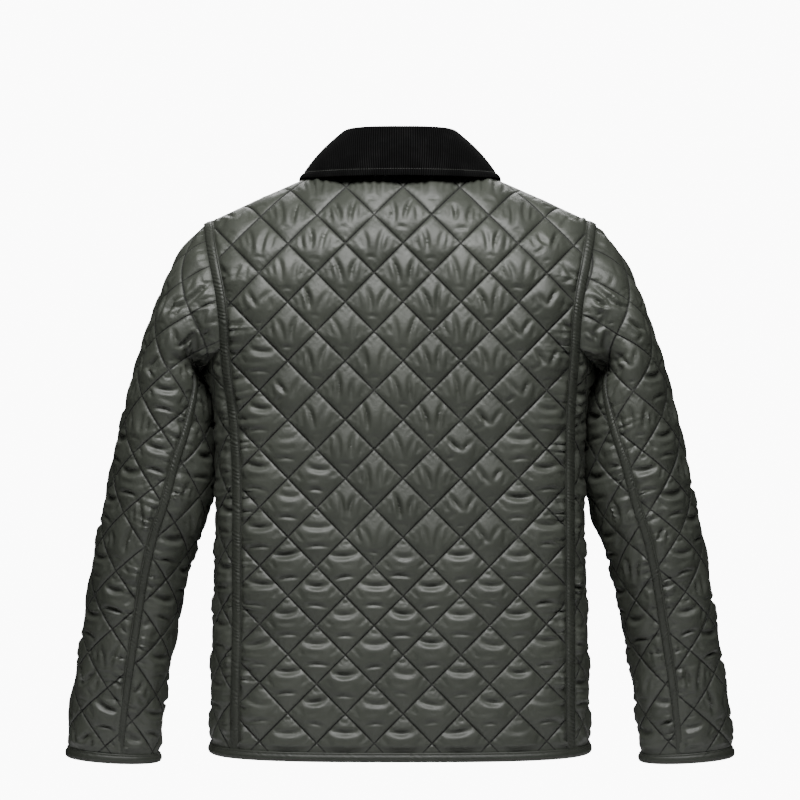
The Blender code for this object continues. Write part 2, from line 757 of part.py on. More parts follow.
def build_body(cloth):
    outline, strip, left_count, right_start = back_outline()
    margins = np.where(strip, STRIP_MARGIN, FLAT_EDGE)
    panel("back", outline, margins, place_back, BACK_CROSSING, QUILT_DOWN, cloth)
    sections = strip_sections(outline, strip, 0, left_count, place_back)
    swept("side_strip_left", sections, cloth)
    sections = strip_sections(outline, strip, right_start, left_count, place_back)
    swept("side_strip_right", sections, cloth)
    turns = np.linspace(0, 2 * math.pi, 9)[:-1]
    ring = np.stack((np.cos(turns), np.sin(turns)), axis=-1) * (SNAP_RADIUS + 0.002)
    marks = [centre + ring for centre in snap_places()]
    panel("front_left", front_outline(1), FLAT_EDGE, place_front(1), FRONT_CROSSING, QUILT_DOWN, cloth, marks)
    panel("front_right", front_outline(-1), FLAT_EDGE, place_front(-1), FRONT_CROSSING, QUILT_DOWN, cloth)


# ---------------------------------------------------------------- sleeves

SLEEVE_TOP_OF_BINDING = SLEEVE_END - BINDING_HEIGHT


def even_runs(seam):
    """Runs of evenly spaced points down a sleeve seam, which is given as turn over run."""
    runs = np.linspace(0.0, SLEEVE_TOP_OF_BINDING, 401)
    points = sleeve_surface(seam(runs), runs)
    lengths = np.linalg.norm(np.diff(points, axis=0), axis=1)
    way = np.concatenate(((0.0,), np.cumsum(lengths)))
    return np.interp(spread(0.0, way[-1]), way, runs)


def ring_turns_between(start, end):
    """Turns of the armhole's own points between two seams, with the seams' own turns."""
    turns = np.concatenate((RING_TURNS - 2 * math.pi, RING_TURNS[1:]))
    inner = turns[(turns > start + 0.06) & (turns < end - 0.06)]
    return np.concatenate(((start,), inner, (end,)))


def sleeve_outline(first_seam, last_seam):
    """Seam lines round one sleeve piece, between two seams given as turn over run."""
    top = ring_turns_between(first_seam(0.0), last_seam(0.0))
    down_runs = even_runs(last_seam)
    up_runs = even_runs(first_seam)[::-1]
    down = np.stack((last_seam(down_runs), down_runs), axis=-1)
    up = np.stack((first_seam(up_runs), up_runs), axis=-1)
    end = SLEEVE_TOP_OF_BINDING
    count = len(top) // 2 + 2
    cuff_turns = np.linspace(last_seam(end), first_seam(end), count)[1:-1]
    places = np.concatenate((
        np.stack((top[:-1], 0 * top[:-1]), axis=-1),
        down,
        np.stack((cuff_turns, 0 * cuff_turns + end), axis=-1),
        up[:-1],
    ))
    outline = sleeve_flat(places[:, 0], places[:, 1])
    first = len(top) - 1
    carries = np.zeros(len(outline), bool)
    carries[first:first + len(down) - 1] = True
    return outline, carries, first, len(down)


def elbow_seam(run):
    return np.radians(smooth(ELBOW_SEAM, 1, np.asarray(run, float)))


def inner_seam(run):
    return math.radians(INNER_SEAM_TURN) + 0 * np.asarray(run, float)


def inner_seam_again(run):
    return inner_seam(run) + 2 * math.pi


def build_sleeve(side, word, cloth):
    place = place_sleeve(side)
    outline, carries, first, count = sleeve_outline(inner_seam, elbow_seam)
    margins = np.where(carries, STRIP_MARGIN, FLAT_EDGE)
    panel("sleeve_upper_" + word, outline, margins, place, SLEEVE_CROSSING, SLEEVE_QUILT_DOWN, cloth)
    sections = strip_sections(outline, carries, first, count, place)
    swept("elbow_strip_" + word, sections, cloth)
    outline = sleeve_outline(elbow_seam, inner_seam_again)[0]
    panel("sleeve_under_" + word, outline, FLAT_EDGE, place, SLEEVE_CROSSING, SLEEVE_QUILT_DOWN, cloth)


# ---------------------------------------------------------------- bindings

# way in from the finished edge, out from the stitch lines: a rolled edge
BINDING_PROFILE = (
    (0.0100, -0.0022),
    (0.0100, 0.0022),
    (0.0060, 0.0036),
    (0.0018, 0.0030),
    (0.0000, 0.0006),
    (0.0018, -0.0022),
)


def build_hem_binding(cloth):
    """One band round the whole hem, from the left front edge to the right one."""
    rings = []
    for inwards, out in BINDING_PROFILE:
        level = HEM_Z + inwards
        runs = []
        for side in (1, -1):
            seam = girth_at(smooth(BACK_EDGE, edge_column(side), level), level, behind=True)
            girths = np.linspace(-LAP_OVER - BINDING_HEIGHT, seam, 20)
            flat = np.stack((girths, 0 * girths + level), axis=-1)
            runs.append(place_front(side)(flat, np.full(len(flat), out)))
        ends = [smooth(BACK_EDGE, edge_column(side), level) for side in (1, -1)]
        xs = np.linspace(ends[0], -ends[1], 17)[1:-1]
        flat = np.stack((xs, 0 * xs + level), axis=-1)
        behind = place_back(flat, np.full(len(flat), out))
        rings.append(np.concatenate((runs[0], behind, runs[1][::-1])))
    swept("hem_binding", np.stack(rings, axis=1), cloth)


def build_front_binding(side, word, cloth):
    levels = spread(HEM_TOP + SEAM_GAP, NECK_FRONT_LEVEL, 0.032)
    rings = []
    for inwards, out in BINDING_PROFILE:
        girths = 0 * levels - LAP_OVER - BINDING_HEIGHT + inwards
        flat = np.stack((girths, levels), axis=-1)
        rings.append(place_front(side)(flat, np.full(len(flat), out)))
    swept("front_binding_" + word, np.stack(rings, axis=1), cloth)


def build_cuff_binding(side, word, cloth):
    turns = np.linspace(0, 2 * math.pi, 25)[:-1]
    rings = []
    for inwards, out in BINDING_PROFILE:
        runs = 0 * turns + SLEEVE_END - inwards
        points = moved_out(sleeve_surface, turns, runs, np.full(len(turns), -out))
        rings.append(mirrored(points, side))
    swept("cuff_binding_" + word, np.stack(rings, axis=1), cloth, closed=True)


# ---------------------------------------------------------------- collar

# turn from the centre back in degrees, roll line x, y, z, fall edge x, y, z
COLLAR = np.array((
    (-30, -0.0370, 0.0500, 0.0585, -0.0610, 0.0800, -0.0022),
    (0, 0.0000, 0.0560, 0.0585, 0.0000, 0.0905, -0.0022),
    (30, 0.0370, 0.0500, 0.0585, 0.0610, 0.0800, -0.0022),
    (60, 0.0600, 0.0290, 0.0580, 0.1035, 0.0460, -0.0012),
    (75, 0.0655, 0.0140, 0.0570, 0.1145, 0.0240, 0.0004),
    (90, 0.0680, -0.0020, 0.0555, 0.1205, 0.0000, 0.0002),
    (115, 0.0650, -0.0330, 0.0440, 0.1180, -0.0470, -0.0070),
    (140, 0.0500, -0.0640, 0.0150, 0.1030, -0.0945, -0.0500),
    (160, 0.0290, -0.0850, -0.0130, 0.0800, -0.1190, -0.0980),
    (180, 0.0095, -0.1000, -0.0380, 0.0560, -0.1320, -0.1400),
))
COLLAR_WALL = 0.0030
COLLAR_LIFT = 0.07           # share of the stand's height between it and the neck edge
COLLAR_END = 176             # turn of the collar's front ends
COLLAR_EDGE_SLANT = 0.20     # share of the last row by which the inner face ends short
COLLAR_BELLY = 0.0035        # how far the fall bows out between roll and edge
ROLL = ((-0.0058, -0.0070), (-0.0048, -0.0018), (0.0, 0.0), (0.0048, -0.0030))


def collar_line(turns, first_column):
    """Points of a collar line for turns in degrees, negative ones on the wearer's right."""
    size = np.abs(turns)
    points = np.stack([smooth(COLLAR, first_column + k, size) for k in range(3)], axis=-1)
    return points * np.stack((np.where(turns < 0, -1.0, 1.0), 0 * turns + 1, 0 * turns + 1), axis=-1)


def neck_line(turns):
    """The neck edge of the panels, for the same turns."""
    size = np.radians(np.abs(turns))
    points = []
    for turn, angle in zip(turns, size):
        side = -1 if turn < 0 else 1
        x = NECK_HALF * math.sin(angle)
        if angle <= math.pi / 2:
            flat = np.array(((x * side, back_neck_level(x)),))
            points.append(place_back(flat, np.array((-WALL / 2,)))[0])
            continue
        level = front_neck_level(math.pi - angle)
        flat = np.array(((girth_at(x, level), level),))
        points.append(place_front(side)(flat, np.array((-WALL / 2,)))[0])
    return np.array(points)


def collar_rows(turns):
    """Outer face of roll and fall, from the inside of the neck over the roll to the edge."""
    roll = collar_line(turns, 1)
    edge = collar_line(turns, 4)
    outward = edge - roll
    outward[:, 2] = 0
    outward /= np.linalg.norm(outward, axis=1, keepdims=True)
    up = np.array((0.0, 0.0, 1.0))
    rows = [roll + outward * side + up * rise for side, rise in ROLL]
    start = rows[-1]
    for share in (0.25, 0.5, 0.75, 1.0):
        belly = COLLAR_BELLY * math.sin(math.pi * share)
        rows.append(start + (edge - start) * share + (outward + up) * belly / math.sqrt(2))
    return np.array(rows)


def grid_normals(rows):
    along = np.gradient(rows, axis=1)
    across = np.gradient(rows, axis=0)
    normals = np.cross(across, along)
    return normals / np.linalg.norm(normals, axis=-1, keepdims=True)


def wall(name, outer, inner, material):
    """A closed wall between two grids of points with the same rows and columns."""
    rows, columns = outer.shape[:2]
    shift = rows * columns
    faces = []
    for row in range(rows - 1):
        for column in range(columns - 1):
            here = row * columns + column
            quad = (here, here + 1, here + columns + 1, here + columns)
            faces.append(quad)
            faces.append(tuple(corner + shift for corner in reversed(quad)))
    rim = list(range(columns))
    rim += [row * columns + columns - 1 for row in range(1, rows)]
    rim += [(rows - 1) * columns + column for column in range(columns - 2, -1, -1)]
    rim += [row * columns for row in range(rows - 2, 0, -1)]
    for this, after in zip(rim, rim[1:] + rim[:1]):
        faces.append((this, after, after + shift, this + shift))
    points = np.concatenate((outer.reshape(-1, 3), inner.reshape(-1, 3)))
    return solid(name, points, faces, material)


def build_collar(cord):
    turns = np.linspace(-COLLAR_END, COLLAR_END, 31)
    outer = collar_rows(turns)
    inner = outer - grid_normals(outer) * COLLAR_WALL
    inner[-1] += (inner[-2] - inner[-1]) * COLLAR_EDGE_SLANT
    wall("collar_fall", outer, inner, cord)
    foot = neck_line(turns)
    foot += (outer[0] - foot) * COLLAR_LIFT
    top_inside = outer[0] + np.array((0.0, 0.0, -SEAM_GAP))
    top_outside = inner[0] + np.array((0.0, 0.0, -SEAM_GAP))
    half = (top_outside - top_inside) / 2
    inside_rows = np.array([foot - half + (top_inside - foot + half) * share for share in (0, 0.5, 1)])
    outside_rows = np.array([foot + half + (top_outside - foot - half) * share for share in (0, 0.5, 1)])
    wall("collar_stand", inside_rows, outside_rows, cord)


# ---------------------------------------------------------------- snap buttons

SNAP_PROFILE = ((0.0066, 0.0), (0.0075, 0.0006), (0.0075, 0.0015), (0.0058, 0.0025), (0.0028, 0.0030))


def build_snaps(brass):
    place = place_front(1)
    for number, flat in enumerate(snap_places(), 1):
        centre = place(flat[None], np.array((0.0004,)))[0]
        normal = place(flat[None], np.array((0.0104,)))[0] - centre
        normal /= np.linalg.norm(normal)
        side = np.cross(normal, (0.0, 0.0, 1.0))
        side /= np.linalg.norm(side)
        up = np.cross(side, normal)
        turns = np.linspace(0, 2 * math.pi, 11)[:-1]
        circle = np.cos(turns)[:, None] * side + np.sin(turns)[:, None] * up
        rings = np.array([centre + circle * radius + normal * height for radius, height in SNAP_PROFILE])
        swept("snap_" + str(number), rings, brass)


# ---------------------------------------------------------------- the jacket

def main():
    for thing in list(bpy.data.objects):
        bpy.data.objects.remove(thing, do_unlink=True)
    cloth = make_material("quilted_cloth", OLIVE, 0.45)
    trim = make_material("binding_cloth", OLIVE, 0.40)
    cord = make_material("corduroy", CORDUROY, 0.90)
    brass = make_material("aged_brass", BRASS, 0.40, 1.0)
    build_body(cloth)
    build_hem_binding(trim)
    for side, word in ((1, "left"), (-1, "right")):
        build_sleeve(side, word, cloth)
        build_front_binding(side, word, trim)
        build_cuff_binding(side, word, trim)
    build_collar(cord)
    build_snaps(brass)


main()
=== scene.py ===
# %% [markdown]
# # A quilted jacket with a corduroy collar
# The jacket stands filled out, as if worn by nobody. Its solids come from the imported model. Here each
# soft solid is replaced by a finer cloth piece of the same cut, and every surface gets its finish.

# %% Load the frame
import json
import math
from functools import partial

import bmesh
import bpy
import numpy as np
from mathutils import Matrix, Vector
from mathutils.geometry import delaunay_2d_cdt
from mathutils.kdtree import KDTree

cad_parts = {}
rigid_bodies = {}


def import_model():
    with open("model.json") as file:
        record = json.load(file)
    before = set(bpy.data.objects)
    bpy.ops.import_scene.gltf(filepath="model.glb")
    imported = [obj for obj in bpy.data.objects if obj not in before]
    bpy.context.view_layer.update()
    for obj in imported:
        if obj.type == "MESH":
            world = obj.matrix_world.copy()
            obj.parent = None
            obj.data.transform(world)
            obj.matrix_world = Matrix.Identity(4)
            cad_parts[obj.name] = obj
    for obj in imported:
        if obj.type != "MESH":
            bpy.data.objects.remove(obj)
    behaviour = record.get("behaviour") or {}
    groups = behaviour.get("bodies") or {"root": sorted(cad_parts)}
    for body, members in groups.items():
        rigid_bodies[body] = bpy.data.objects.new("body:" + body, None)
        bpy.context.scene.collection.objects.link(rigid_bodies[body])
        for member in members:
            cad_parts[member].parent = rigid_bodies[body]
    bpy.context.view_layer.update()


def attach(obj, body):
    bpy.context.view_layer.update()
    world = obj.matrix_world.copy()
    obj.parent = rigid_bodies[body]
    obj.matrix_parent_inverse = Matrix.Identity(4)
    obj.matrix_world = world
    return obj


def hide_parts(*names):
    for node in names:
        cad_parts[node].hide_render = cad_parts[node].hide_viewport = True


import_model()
bpy.ops.object.select_all(action="DESELECT")

# %% [markdown]
# ## Driving sizes
# A garment is described by a few sizes and short tables. They are those of the solids, in metres, so
# each finer piece lies where its solid lies.

# %% Driving sizes
SEAM_GAP = 0.0003
WALL = 0.0022                # thickness of the sandwich at a stitch line
QUILT_ACROSS = 0.0668        # from one crossing to the next, across the body
QUILT_DOWN = 0.0680          # and down it
SLEEVE_QUILT_DOWN = 0.0700
FINE = 0.0026                # spacing of points along a seam
FLAT_EDGE = 0.0030
STRIP_MARGIN = 0.0094        # flat margin of the panel below a seam strip
PLAIN_MARGIN = 0.0012        # and beside a seam that has no strip on this panel
HEM_Z = -0.683
BINDING_HEIGHT = 0.010
SHOULDER_TIP_X = 0.2346
RIDGE_TOP, RIDGE_FALL, RIDGE_ROUND = 0.0661, 0.4887, 0.070
BACK_ROUNDING, FRONT_ROUNDING = 0.120, 0.150
STEEP = math.acos(0.55)
BODY_POWER = 3.0             # superellipse power of a body section
REF_WIDTH, REF_DEPTH = 0.220, 0.115
NECK_HALF, NECK_BACK_Z, NECK_FRONT_LEVEL = 0.080, 0.012, -0.075
LAP_OVER, LAP_LIFT, LAP_RAMP = 0.012, 0.0085, (0.022, 0.060)
UNDERARM_LEVEL, BACK_CORNER_LEVEL = -0.2255, -0.202
print("shoulder width:", 2 * SHOULDER_TIP_X, "back length:", round(NECK_BACK_Z - HEM_Z, 3))

# %% [markdown]
# ## Tables of the body
# The body could be drawn as curves in the view. A table of a few sections is easier to read and to
# change: each row says how wide and how deep the jacket is at one level.

# %% Tables of the body
# level, half width, depth of the back, depth of the front: body sections at the stitch lines
BODY = np.array((
    (-0.690, 0.2256, 0.1110, 0.1200), (-0.600, 0.2240, 0.1105, 0.1190), (-0.500, 0.2212, 0.1090, 0.1160),
    (-0.400, 0.2184, 0.1085, 0.1140), (-0.340, 0.2172, 0.1095, 0.1145), (-0.290, 0.2182, 0.1115, 0.1155),
    (-0.250, 0.2240, 0.1135, 0.1155), (-0.225, 0.2310, 0.1150, 0.1150), (-0.190, 0.2400, 0.1165, 0.1140),
    (-0.120, 0.2520, 0.1165, 0.1110), (-0.060, 0.2610, 0.1110, 0.1070), (0.000, 0.2620, 0.1000, 0.1040),
    (0.080, 0.2620, 0.0900, 0.1020),
))

# level, left, right: half width of the back panel, down the armhole and the side-back seam
BACK_EDGE = np.array((
    (-0.690, 0.1970, 0.2033), (-0.615, 0.1965, 0.2033), (-0.550, 0.1949, 0.2033), (-0.450, 0.1947, 0.2033),
    (-0.324, 0.1961, 0.2034), (-0.279, 0.1997, 0.2040), (-0.245, 0.2045, 0.2056), (-0.215, 0.2076, 0.2076),
    (-0.171, 0.2100, 0.2100), (-0.145, 0.2130, 0.2130), (-0.099, 0.2227, 0.2227), (-0.070, 0.2288, 0.2288),
    (-0.035, SHOULDER_TIP_X, SHOULDER_TIP_X),
))

# level, x: front armhole, from its lower end up to the shoulder tip
FRONT_ARMHOLE = np.array((
    (-0.208, 0.2060), (-0.190, 0.2000), (-0.160, 0.1975), (-0.120, 0.2040), (-0.085, 0.2150),
    (-0.030, SHOULDER_TIP_X),
))

print("sections of the body:", len(BODY))

# %% [markdown]
# ## Tables of the sleeve
# A sleeve's sections lie between an outer and an inner line that both go down the arm. A second table
# gives ovals square to the arm, which serve to lay the sleeve out flat.

# %% Tables of the sleeve
# run along the outer side, outer x, outer z, inner x, inner z, half depth, middle y
SLEEVE = np.array((
    (0.0000, 0.2346, -0.0535, 0.2325, -0.2255, 0.0850, 0.000),
    (0.0475, 0.2650, -0.0900, 0.2370, -0.2262, 0.0840, 0.000),
    (0.1006, 0.2880, -0.1380, 0.2400, -0.2290, 0.0825, 0.000),
    (0.1519, 0.3060, -0.1860, 0.2375, -0.2360, 0.0810, 0.000),
    (0.1971, 0.3200, -0.2290, 0.2300, -0.2500, 0.0790, -0.001),
    (0.2375, 0.3305, -0.2680, 0.2253, -0.2790, 0.0770, -0.002),
    (0.2894, 0.3425, -0.3185, 0.2227, -0.3360, 0.0735, -0.003),
    (0.3170, 0.3483, -0.3455, 0.2231, -0.3660, 0.0718, -0.004),
    (0.3431, 0.3535, -0.3710, 0.2275, -0.3950, 0.0700, -0.005),
    (0.3991, 0.3655, -0.4260, 0.2478, -0.4540, 0.0650, -0.008),
    (0.4963, 0.3820, -0.5220, 0.2682, -0.5450, 0.0560, -0.015),
    (0.5932, 0.3965, -0.6180, 0.2830, -0.6340, 0.0485, -0.023),
    (0.6475, 0.4028, -0.6720, 0.2885, -0.6830, 0.0450, -0.028),
    (0.6685, 0.4045, -0.6930, 0.2894, -0.7000, 0.0440, -0.029),
))
SLEEVE_END = SLEEVE[-1, 0]
PUFF_IN_OUTLINE, SLEEVE_CLEAR, RING_BLEND = 0.003, -0.0006, 0.120
ARM_TILT = math.radians(11)
ARM_DOWN = np.array((math.sin(ARM_TILT), 0.0, -math.cos(ARM_TILT)))
ARM_OUT = np.array((math.cos(ARM_TILT), 0.0, math.sin(ARM_TILT)))

# way down along the arm, centre, half width, half depth: ovals square to the arm, for its flat sheet
SLEEVE_ARCS = np.array((
    (0.097, 0.2050, 0.0155, 0.0250), (0.140, 0.1990, 0.0445, 0.0650), (0.183, 0.1950, 0.0595, 0.0800),
    (0.236, 0.2050, 0.0590, 0.0830), (0.270, 0.2215, 0.0480, 0.0810), (0.300, 0.2200, 0.0510, 0.0780),
    (0.350, 0.2153, 0.0589, 0.0750), (0.430, 0.2128, 0.0633, 0.0700), (0.490, 0.2163, 0.0597, 0.0650),
    (0.585, 0.2158, 0.0566, 0.0560), (0.680, 0.2120, 0.0551, 0.0485), (0.755, 0.2050, 0.0545, 0.0440),
))

# run, turn in degrees: the elbow seam, from the underarm down the back of the sleeve
ELBOW_SEAM = np.array((
    (0.00, 146.0), (0.05, 149.5), (0.10, 153.0), (0.15, 152.0), (0.20, 144.0), (0.25, 129.0),
    (0.30, 112.0), (0.35, 105.5), (0.42, 105.5), (0.50, 106.5), (0.67, 105.0),
))
INNER_SEAM_TURN = -140.0

SIDES = ((1, "left"), (-1, "right"))

# where one crossing of the stitch lines lies, in each sheet's flat coordinates
BACK_CROSSING = (-0.0035, -0.0150)
FRONT_CROSSING = (0.0200, -0.1000)
SLEEVE_CROSSINGS = {"left": (0.0695, 0.2415), "right": (0.0695, 0.2665)}
print("sections of a sleeve:", len(SLEEVE))


# %% [markdown]
# ## Tables into curves
# A table gives only a few sections. A smooth curve through its rows gives every place between them,
# so that no kink shows where two rows meet.

# %% Tables into curves
def smooth(table, column, at):
    """Value of a table's column at a position, on a smooth curve through its rows."""
    keys = table[:, 0]
    values = table[:, column]
    slopes = np.gradient(values, keys)
    at = np.clip(at, keys[0], keys[-1])
    row = np.clip(np.searchsorted(keys, at, side="right") - 1, 0, len(keys) - 2)
    span = keys[row + 1] - keys[row]
    t = (at - keys[row]) / span
    start = (1 + 2 * t) * (1 - t) ** 2 * values[row] + t * (1 - t) ** 2 * span * slopes[row]
    end = t * t * (3 - 2 * t) * values[row + 1] - t * t * (1 - t) * span * slopes[row + 1]
    return start + end


def ease(value):
    value = np.clip(value, 0.0, 1.0)
    return value * value * (3 - 2 * value)


def spread(start, end, spacing=FINE):
    """Even values from start to end, about one spacing apart."""
    count = max(2, int(round(abs(end - start) / spacing)) + 1)
    return np.linspace(start, end, count)


print("half width at the waist:", round(float(smooth(BODY, 1, -0.37)), 4))

# %% [markdown]
# ## The body's surface
# Cloth is cut flat and then curves round the body. Each function here takes flat coordinates and
# gives the place in space, so an outline or a row of stitches can be drawn flat and wrapped.

# %% The body's surface
def unit_ring():
    """Arc length from the centre front, and the point there, round half of the reference section."""
    turn = np.linspace(0, math.pi, 2881)
    across = np.abs(np.sin(turn)) ** (2 / BODY_POWER)
    deep = -np.sign(np.cos(turn)) * np.abs(np.cos(turn)) ** (2 / BODY_POWER)
    steps = np.hypot(np.diff(across * REF_WIDTH), np.diff(deep * REF_DEPTH))
    return np.concatenate(((0.0,), np.cumsum(steps))), across, deep


RING_ARC, RING_ACROSS, RING_DEEP = unit_ring()
RING_SIDE = len(RING_ARC) // 2


def half_width(level):
    return smooth(BODY, 1, level)


def shoulder_line(x):
    return RIDGE_TOP - RIDGE_FALL * np.hypot(x, RIDGE_ROUND)


def ridge_level(x, rounding):
    """Flat level at which a panel reaches the shoulder line."""
    return shoulder_line(x) + rounding * (math.sin(STEEP) - 1 + 0.55 * (math.pi / 2 - STEEP))


def rolled(x, depth, level, rounding):
    """Body point at x, where the section is depth deep, rolled over towards the shoulder line."""
    foot = shoulder_line(x) - rounding
    rise = np.clip((level - foot) / rounding, 0.0, None)
    gentle = np.arcsin(np.clip(rise, 0.0, math.sin(STEEP)))
    slope = gentle + np.clip(rise - math.sin(STEEP), 0.0, None) / 0.55
    slope = np.minimum(slope, math.pi / 2)
    z = np.where(level < foot, level, foot + rounding * np.sin(slope))
    return np.stack((x, depth * np.cos(slope), z), axis=-1)


def back_surface(x, level):
    """The back: flat coordinates are x and level."""
    share = np.clip(np.abs(x) / half_width(level), 0.0, 0.99999)
    depth = smooth(BODY, 2, level) * (1 - share ** BODY_POWER) ** (1 / BODY_POWER)
    return rolled(x, depth, level, BACK_ROUNDING)


print("middle of the back at the hem:", back_surface(np.zeros(1), np.array((HEM_Z,)))[0].round(3))

# %% [markdown]
# ## The fronts' surface
# A front wraps round the side, so its flat coordinate is not x but the girth: the way along the cloth
# from the centre front. Each section is the reference ring, made wider or narrower.

# %% The fronts' surface
def front_surface(girth, level):
    """A front, here the left one: girth runs from the centre front round the side."""
    scale = half_width(level) / REF_WIDTH
    arc = np.abs(girth) / scale
    x = np.interp(arc, RING_ARC, RING_ACROSS) * half_width(level) * np.sign(girth)
    deep = np.interp(arc, RING_ARC, RING_DEEP)
    depth = deep * np.where(deep < 0, smooth(BODY, 3, level), smooth(BODY, 2, level))
    return rolled(x, depth, level, FRONT_ROUNDING)


def girth_at(x, level, behind=False):
    """Girth of the point at x, on the front half of the section or behind its side."""
    share = np.clip(np.abs(x) / half_width(level), 0.0, 1.0)
    scale = half_width(level) / REF_WIDTH
    if behind:
        return np.interp(-share, -RING_ACROSS[RING_SIDE:], RING_ARC[RING_SIDE:]) * scale
    return np.interp(share, RING_ACROSS[:RING_SIDE + 1], RING_ARC[:RING_SIDE + 1]) * scale * np.sign(x)


def side_girth(level):
    return RING_ARC[RING_SIDE] * half_width(level) / REF_WIDTH


print("half round the hem:", round(float(RING_ARC[-1] * half_width(HEM_Z) / REF_WIDTH), 3))

# %% [markdown]
# ## The armhole and the sleeve's surface
# The sleeve starts on the armhole's own ring of points and blends into plain ovals along the arm. Its
# flat sheet measures arc round the arm and way down the arm, which Newton steps turn back into a place.

# %% The armhole
def underarm_level(offset, reach, corner_level):
    """Level of the underarm curve, offset round from the side line."""
    return UNDERARM_LEVEL + (corner_level - UNDERARM_LEVEL) * np.abs(offset / reach) ** 2.2


def armhole_paths():
    """Flat points of the armhole: on the back sheet, and on the front sheet round to the shoulder."""
    levels = spread(ridge_level(SHOULDER_TIP_X, BACK_ROUNDING), BACK_CORNER_LEVEL)
    back = np.stack((smooth(BACK_EDGE, 1, levels), levels), axis=-1)
    corner = girth_at(back[-1, 0], BACK_CORNER_LEVEL, behind=True)
    foot_level = FRONT_ARMHOLE[0, 0]
    foot = girth_at(FRONT_ARMHOLE[0, 1], foot_level)
    side = side_girth(UNDERARM_LEVEL)
    rear = spread(corner, side)
    fore = spread(side, foot)[1:]
    under = [(g, underarm_level(g - side, corner - side, BACK_CORNER_LEVEL)) for g in rear]
    under += [(g, underarm_level(g - side, side - foot, foot_level)) for g in fore]
    rising = spread(foot_level, ridge_level(SHOULDER_TIP_X, FRONT_ROUNDING))[1:]
    front = [(girth_at(smooth(FRONT_ARMHOLE, 1, level), level), level) for level in rising]
    return back, np.array(under + front)


ARMHOLE_ON_BACK, ARMHOLE_ON_FRONT = armhole_paths()


def armhole_ring():
    """Turn and place of the armhole's points: turn is 0 at the shoulder and 180 degrees under the arm."""
    behind = back_surface(ARMHOLE_ON_BACK[:, 0], ARMHOLE_ON_BACK[:, 1])
    before = front_surface(ARMHOLE_ON_FRONT[1:, 0], ARMHOLE_ON_FRONT[1:, 1])
    points = np.concatenate((behind, before))
    middle = (SLEEVE[0, 2] + SLEEVE[0, 4]) / 2
    tall = (SLEEVE[0, 2] - SLEEVE[0, 4]) / 2
    turns = np.arctan2(points[:, 1] / SLEEVE[0, 5], (points[:, 2] - middle) / tall)
    turns = np.where(turns < -1e-6, turns + 2 * math.pi, turns)
    turns[0] = 0.0
    turns[-1] = 2 * math.pi
    return turns, points


RING_TURNS, RING_POINTS = armhole_ring()
print("points round an armhole:", len(RING_TURNS))


# %% [markdown]
# ## The sleeve's surface
# A sleeve could be modelled as a tube and cut open. Here it is a formula of a turn round the arm and a
# run down it, so its seams, its flat pieces and its cuff are all read from the same surface.

# %% The sleeve's surface
def oval(turn, run):
    """A plain oval across the sleeve at a run down its outer side."""
    outer = np.stack((smooth(SLEEVE, 1, run), 0 * run, smooth(SLEEVE, 2, run)), axis=-1)
    inner = np.stack((smooth(SLEEVE, 3, run), 0 * run, smooth(SLEEVE, 4, run)), axis=-1)
    width = np.linalg.norm(outer - inner, axis=-1)
    thinner = PUFF_IN_OUTLINE * ease(run / RING_BLEND)
    half = width / 2 - thinner
    point = (outer + inner) / 2 + (outer - inner) * (half * np.cos(turn) / width)[..., None]
    point[..., 1] = smooth(SLEEVE, 6, run) + (smooth(SLEEVE, 5, run) - thinner) * np.sin(turn)
    return point


def sleeve_surface(turn, run):
    """The left sleeve: turn is 0 on its outer side and a quarter turn at its back."""
    turn = np.asarray(turn, float)
    run = np.asarray(run, float)
    full = np.mod(turn, 2 * math.pi)
    ring = np.stack([np.interp(full, RING_TURNS, RING_POINTS[:, axis]) for axis in range(3)], axis=-1)
    shift = ring - oval(turn, 0 * run)
    shift[..., 0] += SLEEVE_CLEAR
    return oval(turn, run) + shift * (1 - ease(run / RING_BLEND))[..., None]


def sleeve_flat(turn, run):
    """Flat coordinates of a sleeve point: arc round the sleeve, and way down along the arm."""
    point = sleeve_surface(turn, run)
    down = point @ ARM_DOWN
    centre, half, deep = (smooth(SLEEVE_ARCS, column, down) for column in (1, 2, 3))
    sideways = (point @ ARM_OUT - centre) / half
    across = (point[..., 1] - smooth(SLEEVE, 6, run)) / deep
    angle = np.arctan2(across, sideways)
    angle += 2 * math.pi * np.round((turn - angle) / (2 * math.pi))
    mean = np.sqrt((half ** 2 + deep ** 2) / 2)
    odd = (deep ** 2 - half ** 2) / (half ** 2 + deep ** 2)
    arc = (1 - odd ** 2 / 16) * angle + odd / 4 * np.sin(2 * angle) - odd ** 2 / 64 * np.sin(4 * angle)
    return np.stack((mean * arc, down), axis=-1)


def sleeve_unflat(flat):
    """Turn and run of points given in flat coordinates, by Newton steps."""
    flat = np.asarray(flat, float)
    turn = flat[:, 0] / 0.066
    run = np.clip(flat[:, 1] - 0.095, 0.02, SLEEVE_END)
    small = 1e-5
    for _ in range(30):
        here = sleeve_flat(turn, run)
        by_turn = (sleeve_flat(turn + small, run) - here) / small
        by_run = (sleeve_flat(turn, run + small) - here) / small
        miss = flat - here
        size = by_turn[:, 0] * by_run[:, 1] - by_turn[:, 1] * by_run[:, 0]
        turn_step = (miss[:, 0] * by_run[:, 1] - miss[:, 1] * by_run[:, 0]) / size
        run_step = (by_turn[:, 0] * miss[:, 1] - by_turn[:, 1] * miss[:, 0]) / size
        turn = turn + np.clip(turn_step, -0.2, 0.2)
        run = np.clip(run + np.clip(run_step, -0.03, 0.03), 0.0, SLEEVE_END - 2 * small)
    return turn, run


print("sleeve from the shoulder tip to the cuff:", SLEEVE_END)


# %% [markdown]
# ## Placing a sheet
# A place function turns flat points into points in space and their outward normals. Heights are then
# added along the normals, so the same sheet can be pressed, puffed or creased without being cut again.

